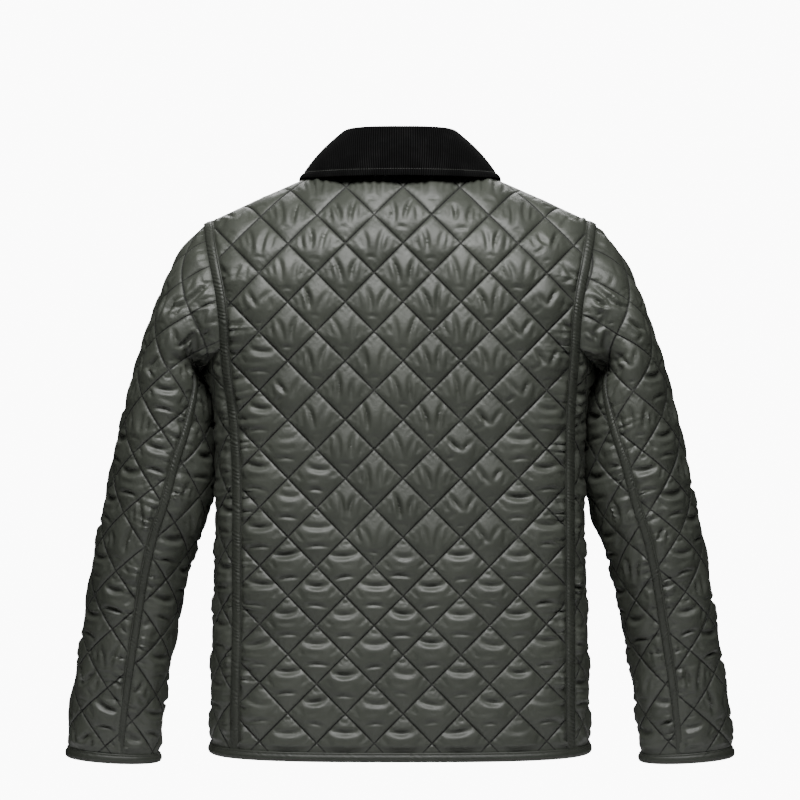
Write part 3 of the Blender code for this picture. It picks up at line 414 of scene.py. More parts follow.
# %% Placing a sheet
def with_normals(surface, first, second, flip=1.0):
    """Points of a surface and its normals there."""
    small = 2e-4
    along = surface(first + small, second) - surface(first - small, second)
    up = surface(first, second + small) - surface(first, second - small)
    normal = np.cross(along, up) * flip
    return surface(first, second), normal / np.linalg.norm(normal, axis=-1, keepdims=True)


def place_back(flat):
    return with_normals(back_surface, flat[:, 0], flat[:, 1], -1.0)


def place_front(side):
    """The left front (side 1) is lifted over the right one (side -1) where they lap."""
    def place(flat):
        points, normals = with_normals(front_surface, flat[:, 0], flat[:, 1])
        if side > 0:
            start, end = LAP_RAMP
            points = points + normals * (LAP_LIFT * (1 - ease((flat[:, 0] - start) / (end - start))))[:, None]
        return points * (side, 1, 1), normals * (side, 1, 1)
    return place


def place_sleeve(side):
    def place(flat):
        turn, run = sleeve_unflat(flat)
        points, normals = with_normals(sleeve_surface, turn, run, -1.0)
        return points * (side, 1, 1), normals * (side, 1, 1)
    return place


print("mid back at the waist:", place_back(np.array(((0.0, -0.37),)))[0][0].round(3))

# %% [markdown]
# ## Moving an outline
# An outline that is moved inwards gives the line of a strip, of its stitches or of a lap. Every edge
# moves by its own distance, and two neighbours meet again where their moved lines cross.

# %% Moving an outline
def inset(outline, distances):
    """A closed outline moved inwards, each of its edges by its own distance."""
    outline = np.asarray(outline, float)
    edges = np.roll(outline, -1, axis=0) - outline
    normals = np.stack((-edges[:, 1], edges[:, 0]), axis=-1)
    normals /= np.linalg.norm(normals, axis=-1, keepdims=True)
    distances = np.broadcast_to(distances, len(outline))
    before = np.roll(normals, 1, axis=0)
    near = np.roll(distances, 1)
    turn = before[:, 0] * normals[:, 1] - before[:, 1] * normals[:, 0]
    straight = np.abs(turn) < 0.15
    safe = np.where(straight, 1.0, turn)
    corner_x = (near * normals[:, 1] - distances * before[:, 1]) / safe
    corner_y = (before[:, 0] * distances - normals[:, 0] * near) / safe
    middle = before + normals
    middle /= np.linalg.norm(middle, axis=-1, keepdims=True)
    level = middle * np.maximum(near, distances)[:, None]
    return outline + np.where(straight[:, None], level, np.stack((corner_x, corner_y), axis=-1))


print("unit square moved in:", inset(((0, 0), (1, 0), (1, 1), (0, 1)), 0.1).round(2).tolist())

# %% [markdown]
# ## Flat outlines
# Each panel's outline is drawn flat, seam by seam, and both panels at a seam use the same line, so the
# seam closes wherever the cloth goes.

# %% Flat outlines
HEM_TOP = HEM_Z + BINDING_HEIGHT
SEAM_LEVELS = spread(HEM_TOP, BACK_CORNER_LEVEL)
SHOULDER_XS = spread(SHOULDER_TIP_X, NECK_HALF)


def edge_column(side):
    return 1 if side > 0 else 2


def back_neck_level(x):
    top = ridge_level(NECK_HALF, BACK_ROUNDING)
    return NECK_BACK_Z + (top - NECK_BACK_Z) * np.abs(x / NECK_HALF) ** 2.2


def front_neck_level(turn):
    """Level of the front neck line: turn is 0 at the centre front and a quarter turn at the shoulder."""
    top = ridge_level(NECK_HALF, FRONT_ROUNDING)
    return NECK_FRONT_LEVEL + (top - NECK_FRONT_LEVEL) * (1 - np.cos(turn))


def back_outline():
    """Seam lines round the back, which edges carry a strip, and where each strip starts."""
    sides = []
    for side in (1, -1):
        low = np.stack((smooth(BACK_EDGE, edge_column(side), SEAM_LEVELS), SEAM_LEVELS), axis=-1)
        sides.append(np.concatenate((low[:-1], ARMHOLE_ON_BACK[::-1])) * (side, 1))
    left, right = sides[0], sides[1][::-1]
    hem_xs = spread(right[-1, 0], left[0, 0])[1:-1]
    hem = np.stack((hem_xs, 0 * hem_xs + HEM_TOP), axis=-1)
    shoulder = np.stack((SHOULDER_XS, ridge_level(SHOULDER_XS, BACK_ROUNDING)), axis=-1)[1:]
    neck_xs = spread(NECK_HALF, -NECK_HALF)[1:-1]
    neck = np.stack((neck_xs, back_neck_level(neck_xs)), axis=-1)
    top = np.concatenate((shoulder, neck, shoulder[::-1] * (-1, 1)))
    outline = np.concatenate((left, top, right, hem))
    strip = np.zeros(len(outline), bool)
    strip[:len(left) - 1] = True
    start = len(left) + len(top)
    strip[start:start + len(right) - 1] = True
    return outline, strip, len(left), start


def front_outline(side):
    """Seam lines round a front in girth and level, and which edges lie along the side-back seam."""
    xs = smooth(BACK_EDGE, edge_column(side), SEAM_LEVELS)
    seam = np.stack((girth_at(xs, SEAM_LEVELS, behind=True), SEAM_LEVELS), axis=-1)
    tops = ridge_level(SHOULDER_XS, FRONT_ROUNDING)
    shoulder = np.stack((girth_at(SHOULDER_XS, tops), tops), axis=-1)[1:]
    turns = np.linspace(math.pi / 2, 0, 61)[1:-1]
    neck_levels = front_neck_level(turns)
    neck = np.stack((girth_at(NECK_HALF * np.sin(turns), neck_levels), neck_levels), axis=-1)
    levels = spread(NECK_FRONT_LEVEL, HEM_TOP)
    edge = np.stack((0 * levels - LAP_OVER, levels), axis=-1)
    hem_girths = spread(-LAP_OVER, seam[0, 0])[1:-1]
    hem = np.stack((hem_girths, 0 * hem_girths + HEM_TOP), axis=-1)
    outline = np.concatenate((seam[:-1], ARMHOLE_ON_FRONT, shoulder, neck, edge, hem))
    return outline, np.arange(len(outline)) < len(seam) - 1


BACK_OUTLINE, BACK_STRIPS, STRIP_COUNT, RIGHT_STRIP_START = back_outline()
print("points round the back:", len(BACK_OUTLINE))

# %% [markdown]
# ## Sleeve outlines
# A sleeve's pieces are cut along two lines on its surface: the elbow seam and the inner seam. Each line
# is a turn that changes with the run, and sleeve_flat turns its points into the flat outline.

# %% Sleeve outlines
SLEEVE_TOP_OF_BINDING = SLEEVE_END - BINDING_HEIGHT


def elbow_seam(run):
    return np.radians(smooth(ELBOW_SEAM, 1, np.asarray(run, float)))


def inner_seam(run):
    return math.radians(INNER_SEAM_TURN) + 0 * np.asarray(run, float)


def inner_seam_again(run):
    return inner_seam(run) + 2 * math.pi


def even_runs(seam):
    """Runs of evenly spaced points down a sleeve seam, which is given as turn over run."""
    runs = np.linspace(0.0, SLEEVE_TOP_OF_BINDING, 801)
    points = sleeve_surface(seam(runs), runs)
    way = np.concatenate(((0.0,), np.cumsum(np.linalg.norm(np.diff(points, axis=0), axis=1))))
    return np.interp(spread(0.0, way[-1]), way, runs)


def sleeve_outline(first_seam, last_seam):
    """Flat outline of one sleeve piece between two seams, and which edges lie along the last seam."""
    turns = np.concatenate((RING_TURNS - 2 * math.pi, RING_TURNS[1:]))
    start, end = float(first_seam(0.0)), float(last_seam(0.0))
    between = turns[(turns > start + 0.015) & (turns < end - 0.015)]
    top = np.concatenate(((start,), between, (end,)))
    down_runs = even_runs(last_seam)
    up_runs = even_runs(first_seam)[::-1]
    cuff = SLEEVE_TOP_OF_BINDING
    cuff_turns = np.linspace(last_seam(cuff), first_seam(cuff), len(top) // 2 + 2)[1:-1]
    places = np.concatenate((
        np.stack((top[:-1], 0 * top[:-1]), axis=-1),
        np.stack((last_seam(down_runs), down_runs), axis=-1),
        np.stack((cuff_turns, 0 * cuff_turns + cuff), axis=-1),
        np.stack((first_seam(up_runs), up_runs), axis=-1)[:-1],
    ))
    outline = sleeve_flat(places[:, 0], places[:, 1])
    first = len(top) - 1
    carries = np.zeros(len(outline), bool)
    carries[first:first + len(down_runs) - 1] = True
    rising = np.zeros(len(outline), bool)
    rising[-len(up_runs) + 1:] = True
    return outline, carries, rising, first, len(down_runs)


print("points down the elbow seam:", len(even_runs(elbow_seam)))

# %% [markdown]
# ## Pillows between the stitches
# Quilting holds two layers together along crossing rows of stitches, and the wadding swells between
# them. The cloth rises at once beside the thread, and then bows gently over the whole diamond. The
# height is a formula of the distances to the nearest rows, so it fits any panel.

# %% Pillows between the stitches
SHOULDER_RISE, SHOULDER_REACH = 0.0009, 0.0015   # the rise beside the stitches
DOME_RISE = 0.0050                              # and the bow over the diamond
GROOVE_DEPTH, GROOVE_WIDTH = 0.0006, 0.0009


def quilt_rows(flat, crossing, down):
    """Each point's place between the rows of stitches that lean one way, and between the others."""
    across = (flat[:, 0] - crossing[0]) / QUILT_ACROSS
    along = (flat[:, 1] - crossing[1]) / down
    return across + along, across - along


def row_distances(rows, down):
    """Distance from the nearest row of stitches, for both leans."""
    pitch = QUILT_ACROSS * down / math.hypot(QUILT_ACROSS, down)
    return [np.abs(row - np.round(row)) * pitch for row in rows]


def pillow(rows, down):
    first, second = row_distances(rows, down)
    rise = (1 - np.exp(-first / SHOULDER_REACH)) * (1 - np.exp(-second / SHOULDER_REACH))
    dome = np.abs(np.sin(math.pi * rows[0]) * np.sin(math.pi * rows[1])) ** 0.85
    near = np.minimum(first, second)
    return SHOULDER_RISE * rise + DOME_RISE * dome - GROOVE_DEPTH * np.exp(-(near / GROOVE_WIDTH) ** 2)


print("height of a pillow:", round(SHOULDER_RISE + DOME_RISE, 4))

# %% [markdown]
# ## Creases placed one by one
# The nylon is longer than the wadding below it, so every pillow wrinkles. Three kinds of pillow repeat:
# upright folds side by side, a smile over a small bar, and a mix of both. Each crease is one stroke with
# its own place, length, lean, bend, width and depth, and every pillow shifts its strokes a little.

# %% Creases placed one by one
MM = 0.001
# middle across, middle up, half length, lean in degrees, bend, width, depth: all but the lean in mm
UPRIGHT = (
    (-7.5, 3.0, 17.0, 101, 2.8, 3.4, 2.50), (6.5, 3.0, 17.5, 79, -2.8, 3.6, 2.70),
    (16.5, 2.0, 10.5, 82, 1.6, 2.6, 1.60), (-17.5, 1.0, 10.5, 98, -1.6, 2.6, 1.50),
    (24.0, 0.5, 5.5, 76, 0.8, 2.2, 0.70), (-25.0, 0.5, 5.5, 104, -0.8, 2.2, 0.65),
    (0.5, -17.0, 8.0, 3, -1.6, 2.8, 0.90),
)
SMILE = (
    (0.0, 12.0, 18.0, 0, 4.4, 4.6, 3.20), (0.5, -10.5, 15.5, 0, -3.2, 3.2, 2.00),
    (0.0, 26.0, 4.5, 4, 1.0, 2.0, 0.75), (19.0, 2.5, 7.5, 60, 1.0, 2.6, 1.15),
    (-20.0, 3.0, 7.5, 120, -1.0, 2.6, 1.05), (1.0, 1.0, 13.0, -3, 1.5, 4.5, 0.60),
)
MIXED = (
    (7.5, 4.0, 14.0, 53, 1.2, 3.6, 2.60), (-7.0, 4.5, 13.0, 118, 1.2, 3.2, 2.20),
    (11.0, -9.0, 8.5, 136, -1.0, 3.0, 1.60), (16.5, 1.0, 9.0, 82, 1.8, 2.5, 1.35),
    (-17.0, -1.5, 9.5, 97, -1.8, 2.5, 1.20), (0.0, -21.0, 6.0, -4, -1.4, 1.8, 0.70),
)
KINDS = (UPRIGHT, SMILE, MIXED)
CREASE_DEEPENING = 1.35
SHIFT_ROWS = 61              # pillows take their shifts from these rows in turn: place, lean, length, depth
SHIFTS = np.random.default_rng(5).normal(0.0, 1.0, (SHIFT_ROWS, 7, 5))


def stroke(across, up, lean, half, bend, width):
    """How strongly a crease marks each point: 1 along its middle, 0 away from it."""
    along = (across * np.cos(lean) + up * np.sin(lean)) / half
    aside = up * np.cos(lean) - across * np.sin(lean) - bend * along ** 2
    body = np.clip(1 - along ** 2, 0, None) ** 1.5
    spread_out = (aside / width) ** 2
    return body * (1 - 0.55 * spread_out) * np.exp(-spread_out)


def creases(flat, crossing, down, kind_at, up_sign, seed):
    """Height of the creases at each point of a sheet."""
    rows = quilt_rows(flat, crossing, down)
    first, second = np.floor(rows[0]), np.floor(rows[1])
    middle_x = crossing[0] + (first + second + 1) / 2 * QUILT_ACROSS
    middle_y = crossing[1] + (first - second) / 2 * down
    across = flat[:, 0] - middle_x
    up = (flat[:, 1] - middle_y) * up_sign
    pick = (np.mod(first * 17 + second * 31 + seed, SHIFT_ROWS)).astype(int)
    kinds = kind_at(middle_x, middle_y, pick)
    total = np.zeros(len(flat))
    for kind, strokes in enumerate(KINDS):
        here = kinds == kind
        for number, (x, y, half, lean, bend, width, depth) in enumerate(strokes):
            shift = SHIFTS[pick[here], number]
            mark = stroke(
                across[here] - (x + 1.3 * shift[:, 0]) * MM,
                up[here] - (y + 1.1 * shift[:, 1]) * MM,
                np.radians(lean + 6 * shift[:, 2]),
                half * MM * (1 + 0.12 * shift[:, 3]), bend * MM, width * MM,
            )
            total[here] -= mark * depth * CREASE_DEEPENING * MM * (1 + 0.22 * shift[:, 4])
    return total


print("creases in each kind of pillow:", [len(strokes) for strokes in KINDS])

# %% [markdown]
# ## Puckers at the thread
# Every row of stitches draws the cloth up a little. Close beside the thread it ripples finely, and
# beside a felled seam it makes short folds that die out into the panel.

# %% Puckers at the thread
DIAMOND_SIDE = 0.048         # way along a row from one crossing to the next
RIPPLE, RIPPLE_LENGTH, RIPPLE_REACH = 0.00034, 0.0060, 0.0050
GATHER_REACH, THREAD_REACH = 0.006, 0.0008
SEAM_FOLD, SEAM_FOLD_LENGTH, SEAM_FOLD_REACH = 0.0026, 0.0140, 0.012
TUCK, TUCK_LENGTH, TUCK_REACH = 0.0006, 0.0049, 0.0035


def ripples(flat, rows, down):
    """Fine ripples across the rows of stitches."""
    total = np.zeros(len(flat))
    for row, other, away in zip(rows, rows[::-1], row_distances(rows, down)):
        line = np.round(row)
        along = other * DIAMOND_SIDE
        phase = 2 * math.pi * along / RIPPLE_LENGTH
        phase += 1.9 * np.sin(line * 2.1) + 1.3 * np.sin(along * 190 + line)
        to_crossing = np.abs(other - np.round(other)) * DIAMOND_SIDE
        gather = 1 + 1.5 * np.exp(-to_crossing / GATHER_REACH)
        free = 1 - np.exp(-away / THREAD_REACH)
        total += gather * np.sin(phase) * np.exp(-away / RIPPLE_REACH) * free
    return RIPPLE * total


def seam_folds(way, inside_seam, seed):
    """Short folds square to a seam: way along it, and distance from its stitches."""
    warp = way + 0.0042 * np.sin(way * 97 + seed) + 0.0028 * np.sin(way * 231 + 2 * seed)
    strength = 0.65 + 0.35 * np.sin(way * 63 + 3 * seed)
    away = np.clip(inside_seam, 0, None)
    fold = np.sin(2 * math.pi * warp / SEAM_FOLD_LENGTH)
    tuck = np.sin(2 * math.pi * warp / TUCK_LENGTH + seed) * np.exp(-away / TUCK_REACH)
    fold = (fold - 0.35 * fold ** 2) * np.exp(-away / SEAM_FOLD_REACH)
    return strength * (SEAM_FOLD * fold + TUCK * tuck)


print("ripples every", RIPPLE_LENGTH, "m, folds at seams every", SEAM_FOLD_LENGTH, "m")


# %% [markdown]
# ## A net for each sheet
# A grid squeezed to a panel's shape would cut across its stitching. Here the mesh follows the rows
# instead: its points lie close together at the stitch lines, so that each groove is clean. The outline
# is part of the net, and the triangles outside it are left out. The plain inside has a coarser net.

# %% A net for each sheet
EDGE_STEPS = (0.0, 0.016, 0.040)       # shares of a diamond's side, close to its stitches
FINE_NET, PLAIN_NET = 25, 19          # points along a diamond's side
FINE_CLEAR, INNER_CLEAR = 0.0009, 0.004   # no point lies nearer to the outline than this


def net_steps(count):
    """Places along a diamond's side: close together at both ends and even between them."""
    even = np.linspace(0.075, 0.5, (count + 1) // 2 - 2)
    half = np.concatenate((EDGE_STEPS, even))
    return np.concatenate((half[:-1], 1 - half[:0:-1]))


INNER_STEPS = np.array((0.0, 0.25, 0.5, 0.75))
print("points across a diamond:", len(net_steps(FINE_NET)), "outside,", len(INNER_STEPS), "inside")


def inside(points, outline):
    """Which points lie inside a closed outline, worked through in blocks."""
    ends = np.roll(outline, -1, axis=0)
    rise = np.where(outline[:, 1] == ends[:, 1], 1.0, ends[:, 1] - outline[:, 1])
    slope = (ends[:, 0] - outline[:, 0]) / rise
    found = []
    for block in np.array_split(points, max(1, len(points) // 4000)):
        x, y = block[:, None, 0], block[:, None, 1]
        crosses = (outline[:, 1] > y) != (ends[:, 1] > y)
        found.append((crosses & (x < outline[:, 0] + (y - outline[:, 1]) * slope)).sum(axis=1) % 2 == 1)
    return np.concatenate(found)


def nearest(points, line):
    """Number of the nearest point of a line, and its distance, for each point."""
    tree = KDTree(len(line))
    for number, place in enumerate(line):
        tree.insert((place[0], place[1], 0.0), number)
    tree.balance()
    found = [tree.find((x, y, 0.0))[1:] for x, y in points.tolist()]
    return np.array([f[0] for f in found]), np.array([f[1] for f in found])


def net(outline, crossing, down, steps, clear):
    """Flat points and triangles of a sheet: the outline first, then the points inside it."""
    low, high = outline.min(axis=0) - 0.01, outline.max(axis=0) + 0.01
    corners = np.array([(x, y) for x in (low[0], high[0]) for y in (low[1], high[1])])
    first, second = quilt_rows(corners, crossing, down)
    firsts = np.arange(math.floor(first.min()), math.ceil(first.max()))[:, None] + steps
    seconds = np.arange(math.floor(second.min()), math.ceil(second.max()))[:, None] + steps
    a, b = np.meshgrid(firsts.ravel(), seconds.ravel())
    points = np.stack((crossing[0] + (a + b).ravel() / 2 * QUILT_ACROSS,
                       crossing[1] + (a - b).ravel() / 2 * down), axis=-1)
    points = points[((points > low) & (points < high)).all(axis=1)]
    points = points[inside(points, outline)]
    points = points[nearest(points, outline)[1] > clear]
    flat = np.concatenate((outline, points))
    made = delaunay_2d_cdt([Vector(p) for p in flat.tolist()], [], [list(range(len(outline)))], 1, 1e-7)
    order = [source[0] for source in made[3]]
    faces = np.array(order)[np.array([tuple(face) for face in made[2]])]
    return flat, faces


# %% [markdown]
# ## From a net to a piece of cloth
# The outer points take their heights, the inner ones lie a wall's thickness below, and a rim joins the
# two along the outline, so the piece is closed. A map of its flat coordinates goes with it: the
# finish of the cloth follows the sheet, not the room.

# %% From a net to a piece of cloth
def mesh_object(name, points, faces, flat=None):
    """A smooth mesh with its faces turned outwards, and its sheet's flat coordinates as a map."""
    mesh = bpy.data.meshes.new(name)
    mesh.from_pydata(points.tolist(), [], [tuple(face) for face in faces])
    shape = bmesh.new()
    shape.from_mesh(mesh)
    bmesh.ops.recalc_face_normals(shape, faces=shape.faces)
    if shape.calc_volume(signed=True) < 0:
        bmesh.ops.reverse_faces(shape, faces=shape.faces)
    shape.to_mesh(mesh)
    shape.free()
    if flat is not None:
        corners = np.empty(len(mesh.loops), np.int32)
        mesh.loops.foreach_get("vertex_index", corners)
        layer = mesh.uv_layers.new(name="flat")
        layer.data.foreach_set("uv", np.asarray(flat, np.float32)[corners].ravel())
    mesh.shade_smooth()
    mesh.set_sharp_from_angle(angle=math.radians(60))
    piece = bpy.data.objects.new(name, mesh)
    bpy.context.scene.collection.objects.link(piece)
    return piece


SEAM_LAP = 0.00025           # sheets reach this far past the seam line, so every seam is closed


def quilted(name, outline, place, crossing, down, height, fineness):
    """A quilted panel: height gives the outer face over the stitch lines, from flat points."""
    edge = inset(outline, -SEAM_LAP)
    outer, outer_faces = net(edge, crossing, down, net_steps(fineness), FINE_CLEAR)
    inner, inner_faces = net(edge, crossing, down, INNER_STEPS, INNER_CLEAR)
    points, normals = place(outer)
    below, below_normals = place(inner)
    heights = height(outer)
    points = np.concatenate((points + normals * heights[:, None], below - below_normals * WALL))
    count, shift = len(edge), len(outer)
    this = np.arange(count)
    after = np.roll(this, -1)
    faces = [*outer_faces, *(inner_faces[:, ::-1] + shift),
             *np.stack((this, after, after + shift, this + shift), axis=-1)]
    counted = np.stack(quilt_rows(np.concatenate((outer, inner)), crossing, down), axis=-1)
    piece = mesh_object(name, points, faces, counted)
    print(name, "triangles:", len(outer_faces) + len(inner_faces) + 2 * count)
    return piece


# %% [markdown]
# ## The height of a panel
# Pillows, creases and ripples add up over the whole sheet. Beside a seam they fade out to a flat margin,
# where the short seam folds take over. A crease can't be deeper than the sandwich, so it settles softly.

# %% The height of a panel
LOWEST, SETTLING = -0.0012, 0.0003
SEAM_FOLD_START, EXTRA_START = 0.0025, 0.0040


def sheet_height(outline, crossing, down, kind_at, margins, folds, fades, seed, up_sign=1, more=None,
                 calm=None):
    """Height function of a panel. margins: flat width inside each edge, fades: way on to full height,
    folds: how far each edge is drawn up, more: a further height of its own, calm: shares of the
    pillows' height and of the creases' depth."""
    def height(flat):
        number, away = nearest(flat, outline)
        rows = quilt_rows(flat, crossing, down)
        puff, deep = (1.0, 1.0) if calm is None else calm(flat)
        body = puff * pillow(rows, down) + deep * ripples(flat, rows, down)
        body += deep * creases(flat, crossing, down, kind_at, up_sign, seed)
        past_margin = away - margins[number]
        total = body * ease(past_margin / fades[number])
        drawn = folds[number] * ease(past_margin / SEAM_FOLD_START)
        total += drawn * seam_folds(number * FINE, past_margin, seed)
        if more is not None:
            total += more(flat) * ease(away / EXTRA_START)
        return LOWEST + SETTLING * np.logaddexp(0.0, (total - LOWEST) / SETTLING)
    return height


# %% [markdown]
# ## Which folds go where
# High up the middle of the back the cloth hangs from the shoulders and folds upright. Near the sides
# and towards the hem it slumps, and every pillow smiles. Between them the kinds mix.

# %% Which folds go where
UPRIGHT_KIND, SMILE_KIND, MIXED_KIND = 0, 1, 2


def hung_kinds(middle_x, level, pick):
    """Kind of each pillow of a body panel, from its place."""
    unrest = 0.012 * SHIFTS[pick, 0, 0]
    reach = 0.062 + 0.090 * ease((level + 0.33) / 0.14) + unrest
    kinds = np.where(np.abs(middle_x) < reach, UPRIGHT_KIND, MIXED_KIND)
    slumped = (level < -0.425) | ((np.abs(middle_x) > reach + 0.038) & (level < -0.20))
    return np.where(slumped, SMILE_KIND, kinds)


def front_kinds(middle_x, level, pick):
    return hung_kinds(middle_x - 0.11, level, pick)


def sleeve_kinds(_, down, pick):
    """Kind of each pillow of a sleeve, from its way down the arm."""
    unrest = SHIFTS[pick, 1, 1]
    kinds = np.where(unrest > 0.9, UPRIGHT_KIND, MIXED_KIND)
    return np.where((unrest < 0.2) & (down > 0.30), SMILE_KIND, kinds)


print("share of upright pillows on a sleeve:", round(float((SHIFTS[:, 1, 1] > 0.9).mean()), 2))


# %% [markdown]
# ## How the seams hold a panel
# A seam pulls its panel flat, draws it up into short folds, or lets it swell. These functions say where
# each happens, so the panels themselves are made in a few lines.

# %% How the seams hold a panel
# way in from a panel's flat margin to the pillows' full height: the shoulder seam pulls tight
SHOULDER_FADE, SEAM_FADE, EDGE_FADE, SLEEVE_FADE = 0.030, 0.0045, 0.0075, 0.0085


def margins_of(carries, beneath):
    return np.where(carries, beneath, FLAT_EDGE)


def fades_of(outline, rounding, carries):
    """Long fades along the shoulder seam, short ones beside a strip."""
    top = ridge_level(SHOULDER_TIP_X, rounding) - 0.004
    return np.where(outline[:, 1] > top, SHOULDER_FADE, np.where(carries, SEAM_FADE, EDGE_FADE))


def drawn_up(outline, carries):
    """A seam draws its panel up, least of all at the shoulder."""
    return carries * ease((-0.085 - outline[:, 1]) / 0.050)


SWELL, SWELL_LEVEL, SWELL_REACH = 0.0068, UNDERARM_LEVEL - 0.0045, 0.0080
SIDE_SWELL, SIDE_REACH = 0.0026, 0.034


def bell(value, middle, reach):
    """1 at the middle, and nearly 0 from two reaches away."""
    return np.exp(-((value - middle) / reach) ** 2)


def swelling(flat):
    """Under the arm the body's side bulges to meet the sleeve."""
    girth, level = flat[:, 0], flat[:, 1]
    high = SWELL * bell(level, SWELL_LEVEL, SWELL_REACH)
    long = SIDE_SWELL * ease((-0.228 - level) / 0.020) * ease((level + 0.400) / 0.040)
    return bell(girth, side_girth(level), SIDE_REACH) * (high + long)


def calm_side(flat):
    """The wearer's side stretches the cloth, so its pillows are lower there."""
    side = bell(flat[:, 0], side_girth(flat[:, 1]), 0.030)
    return 1 - 0.45 * side, 1 - 0.55 * side


print("edges of the back that a strip holds:", int(BACK_STRIPS.sum()))

# %% [markdown]
# ## The back and the fronts
# The back is one panel between two seams that run from the shoulder tip to the hem. Each front wraps
# round the side to meet it there. Only the left front is lifted, where it laps over the right one.

# %% The back and the fronts
pieces = {}
back_height = sheet_height(BACK_OUTLINE, BACK_CROSSING, QUILT_DOWN, hung_kinds,
                           margins_of(BACK_STRIPS, STRIP_MARGIN), seed=3,
                           folds=drawn_up(BACK_OUTLINE, BACK_STRIPS),
                           fades=fades_of(BACK_OUTLINE, BACK_ROUNDING, BACK_STRIPS))
pieces["back"] = quilted("back_cloth", BACK_OUTLINE, place_back, BACK_CROSSING, QUILT_DOWN, back_height,
                         FINE_NET)
for side, word in SIDES:
    outline, along_seam = front_outline(side)
    height = sheet_height(outline, FRONT_CROSSING, QUILT_DOWN, front_kinds,
                          margins_of(along_seam, PLAIN_MARGIN), seed=8 + side,
                          folds=drawn_up(outline, along_seam), more=swelling, calm=calm_side,
                          fades=fades_of(outline, FRONT_ROUNDING, along_seam))
    pieces["front_" + word] = quilted("front_cloth_" + word, outline, place_front(side), FRONT_CROSSING,
                                      QUILT_DOWN, height, PLAIN_NET)

# %% [markdown]
# ## How a hanging sleeve folds
# An arm that hangs crumples its sleeve behind the armhole, smooths it over the shoulder and rests its
# inner side against the body. The few deep folds are strokes too, placed on the sleeve's flat sheet.

# %% How a hanging sleeve folds
LEAN, LEAN_ARC, LEAN_REACH = 0.0048, 0.2055, 0.036
NOOK, NOOK_DOWN, NOOK_REACH = 0.0080, 0.2715, 0.0080   # the bulge that fills the nook of the underarm
CUFF_SWELL = 0.0018
# middle round, middle down, half length, lean in degrees, bend, width, depth: all but the lean in mm
CRUMPLES = (
    (98.5, 184.0, 24.0, 66, 4.0, 4.6, 5.60), (114.0, 216.0, 15.0, -50, 2.0, 4.0, 5.20),
    (121.0, 238.0, 17.0, -60, -2.0, 5.0, 6.00), (131.0, 226.0, 9.0, 58, 0.8, 2.8, 2.60),
    (101.0, 168.0, 9.0, 12, 1.2, 2.6, 1.80), (138.0, 247.0, 13.0, 15, 0.8, 3.2, -2.60),
    (84.0, 204.0, 17.0, 30, 2.2, 3.6, 3.20), (109.0, 262.0, 15.0, -28, 1.8, 4.0, 3.60),
    (88.0, 192.0, 15.0, 60, 2.0, 4.2, -2.40), (110.0, 199.0, 12.0, 20, 1.0, 3.4, -2.40),
)


def calm_sleeve(flat):
    """A sleeve's cap is nearly smooth; below it the creases are deeper than the back's."""
    arc, down = flat[:, 0], flat[:, 1]
    lower = ease((down - 0.140) / 0.075)
    outer = bell(arc, 0.0, 0.020)
    return 0.80 - 0.20 * outer, (0.25 + 1.15 * lower) * (1 - 0.50 * outer)


def leaning(flat):
    """The inner side of a sleeve bulges a little where it rests against the body."""
    arc, down = flat[:, 0], flat[:, 1]
    lean = LEAN * ease((down - 0.264) / 0.026) * ease((0.430 - down) / 0.035)
    return bell(arc, LEAN_ARC, LEAN_REACH) * (lean + NOOK * bell(down, NOOK_DOWN, NOOK_REACH))


def crumpled(flat, seed):
    """Deep folds that the hanging arm leaves behind the armhole, and a swell above the cuff."""
    total = CUFF_SWELL * ease((flat[:, 1] - 0.64) / 0.05)
    for number, (x, y, half, lean, bend, width, depth) in enumerate(CRUMPLES):
        shift = SHIFTS[40 + seed, number % 7]
        across = flat[:, 0] - (x + 1.5 * shift[0]) * MM
        up = (y + 1.5 * shift[1]) * MM - flat[:, 1]
        lean = math.radians(lean + 5 * shift[2])
        total -= MM * depth * stroke(across, up, lean, half * MM, bend * MM, width * MM)
    return total


print("deep folds on a sleeve:", len(CRUMPLES))

# %% [markdown]
# ## The sleeves
# Two pieces make a sleeve. The upper one carries the felled elbow seam; the under one is narrow and
# lies against the body. The upper one is drawn up round the armhole and both along the elbow seam,
# which leaves short folds at the seams.

# %% The sleeves
SLEEVE_SHEETS = {}
for side, word in SIDES:
    upper, on_elbow, _, first, count = sleeve_outline(inner_seam, elbow_seam)
    SLEEVE_SHEETS[word] = upper, on_elbow, first, count
    at_top = np.arange(len(upper)) < first
    crossing = SLEEVE_CROSSINGS[word]
    height = sheet_height(upper, crossing, SLEEVE_QUILT_DOWN, sleeve_kinds,
                          margins_of(on_elbow, STRIP_MARGIN), up_sign=-1, seed=20 + side,
                          folds=on_elbow + 0.5 * at_top, calm=calm_sleeve,
                          fades=np.where(on_elbow, SEAM_FADE, SLEEVE_FADE),
                          more=partial(crumpled, seed=side))
    pieces["sleeve_upper_" + word] = quilted("sleeve_upper_cloth_" + word, upper, place_sleeve(side),
                                             crossing, SLEEVE_QUILT_DOWN, height, FINE_NET)
    under, _, rising, _, _ = sleeve_outline(elbow_seam, inner_seam_again)
    height = sheet_height(under, crossing, SLEEVE_QUILT_DOWN, sleeve_kinds,
                          margins_of(rising, PLAIN_MARGIN), up_sign=-1, seed=30 + side, folds=rising,
                          fades=np.where(rising, SEAM_FADE, SLEEVE_FADE), more=leaning, calm=calm_sleeve)
    pieces["sleeve_under_" + word] = quilted("sleeve_under_cloth_" + word, under, place_sleeve(side),
                                             crossing, SLEEVE_QUILT_DOWN, height, PLAIN_NET)


# %% [markdown]
# ## Swept trims
# A strip or a binding has one profile all along its way. Its rings of points follow the seam, and
# neighbouring rings are joined. A ring may wander a little, as folded cloth does under a needle.

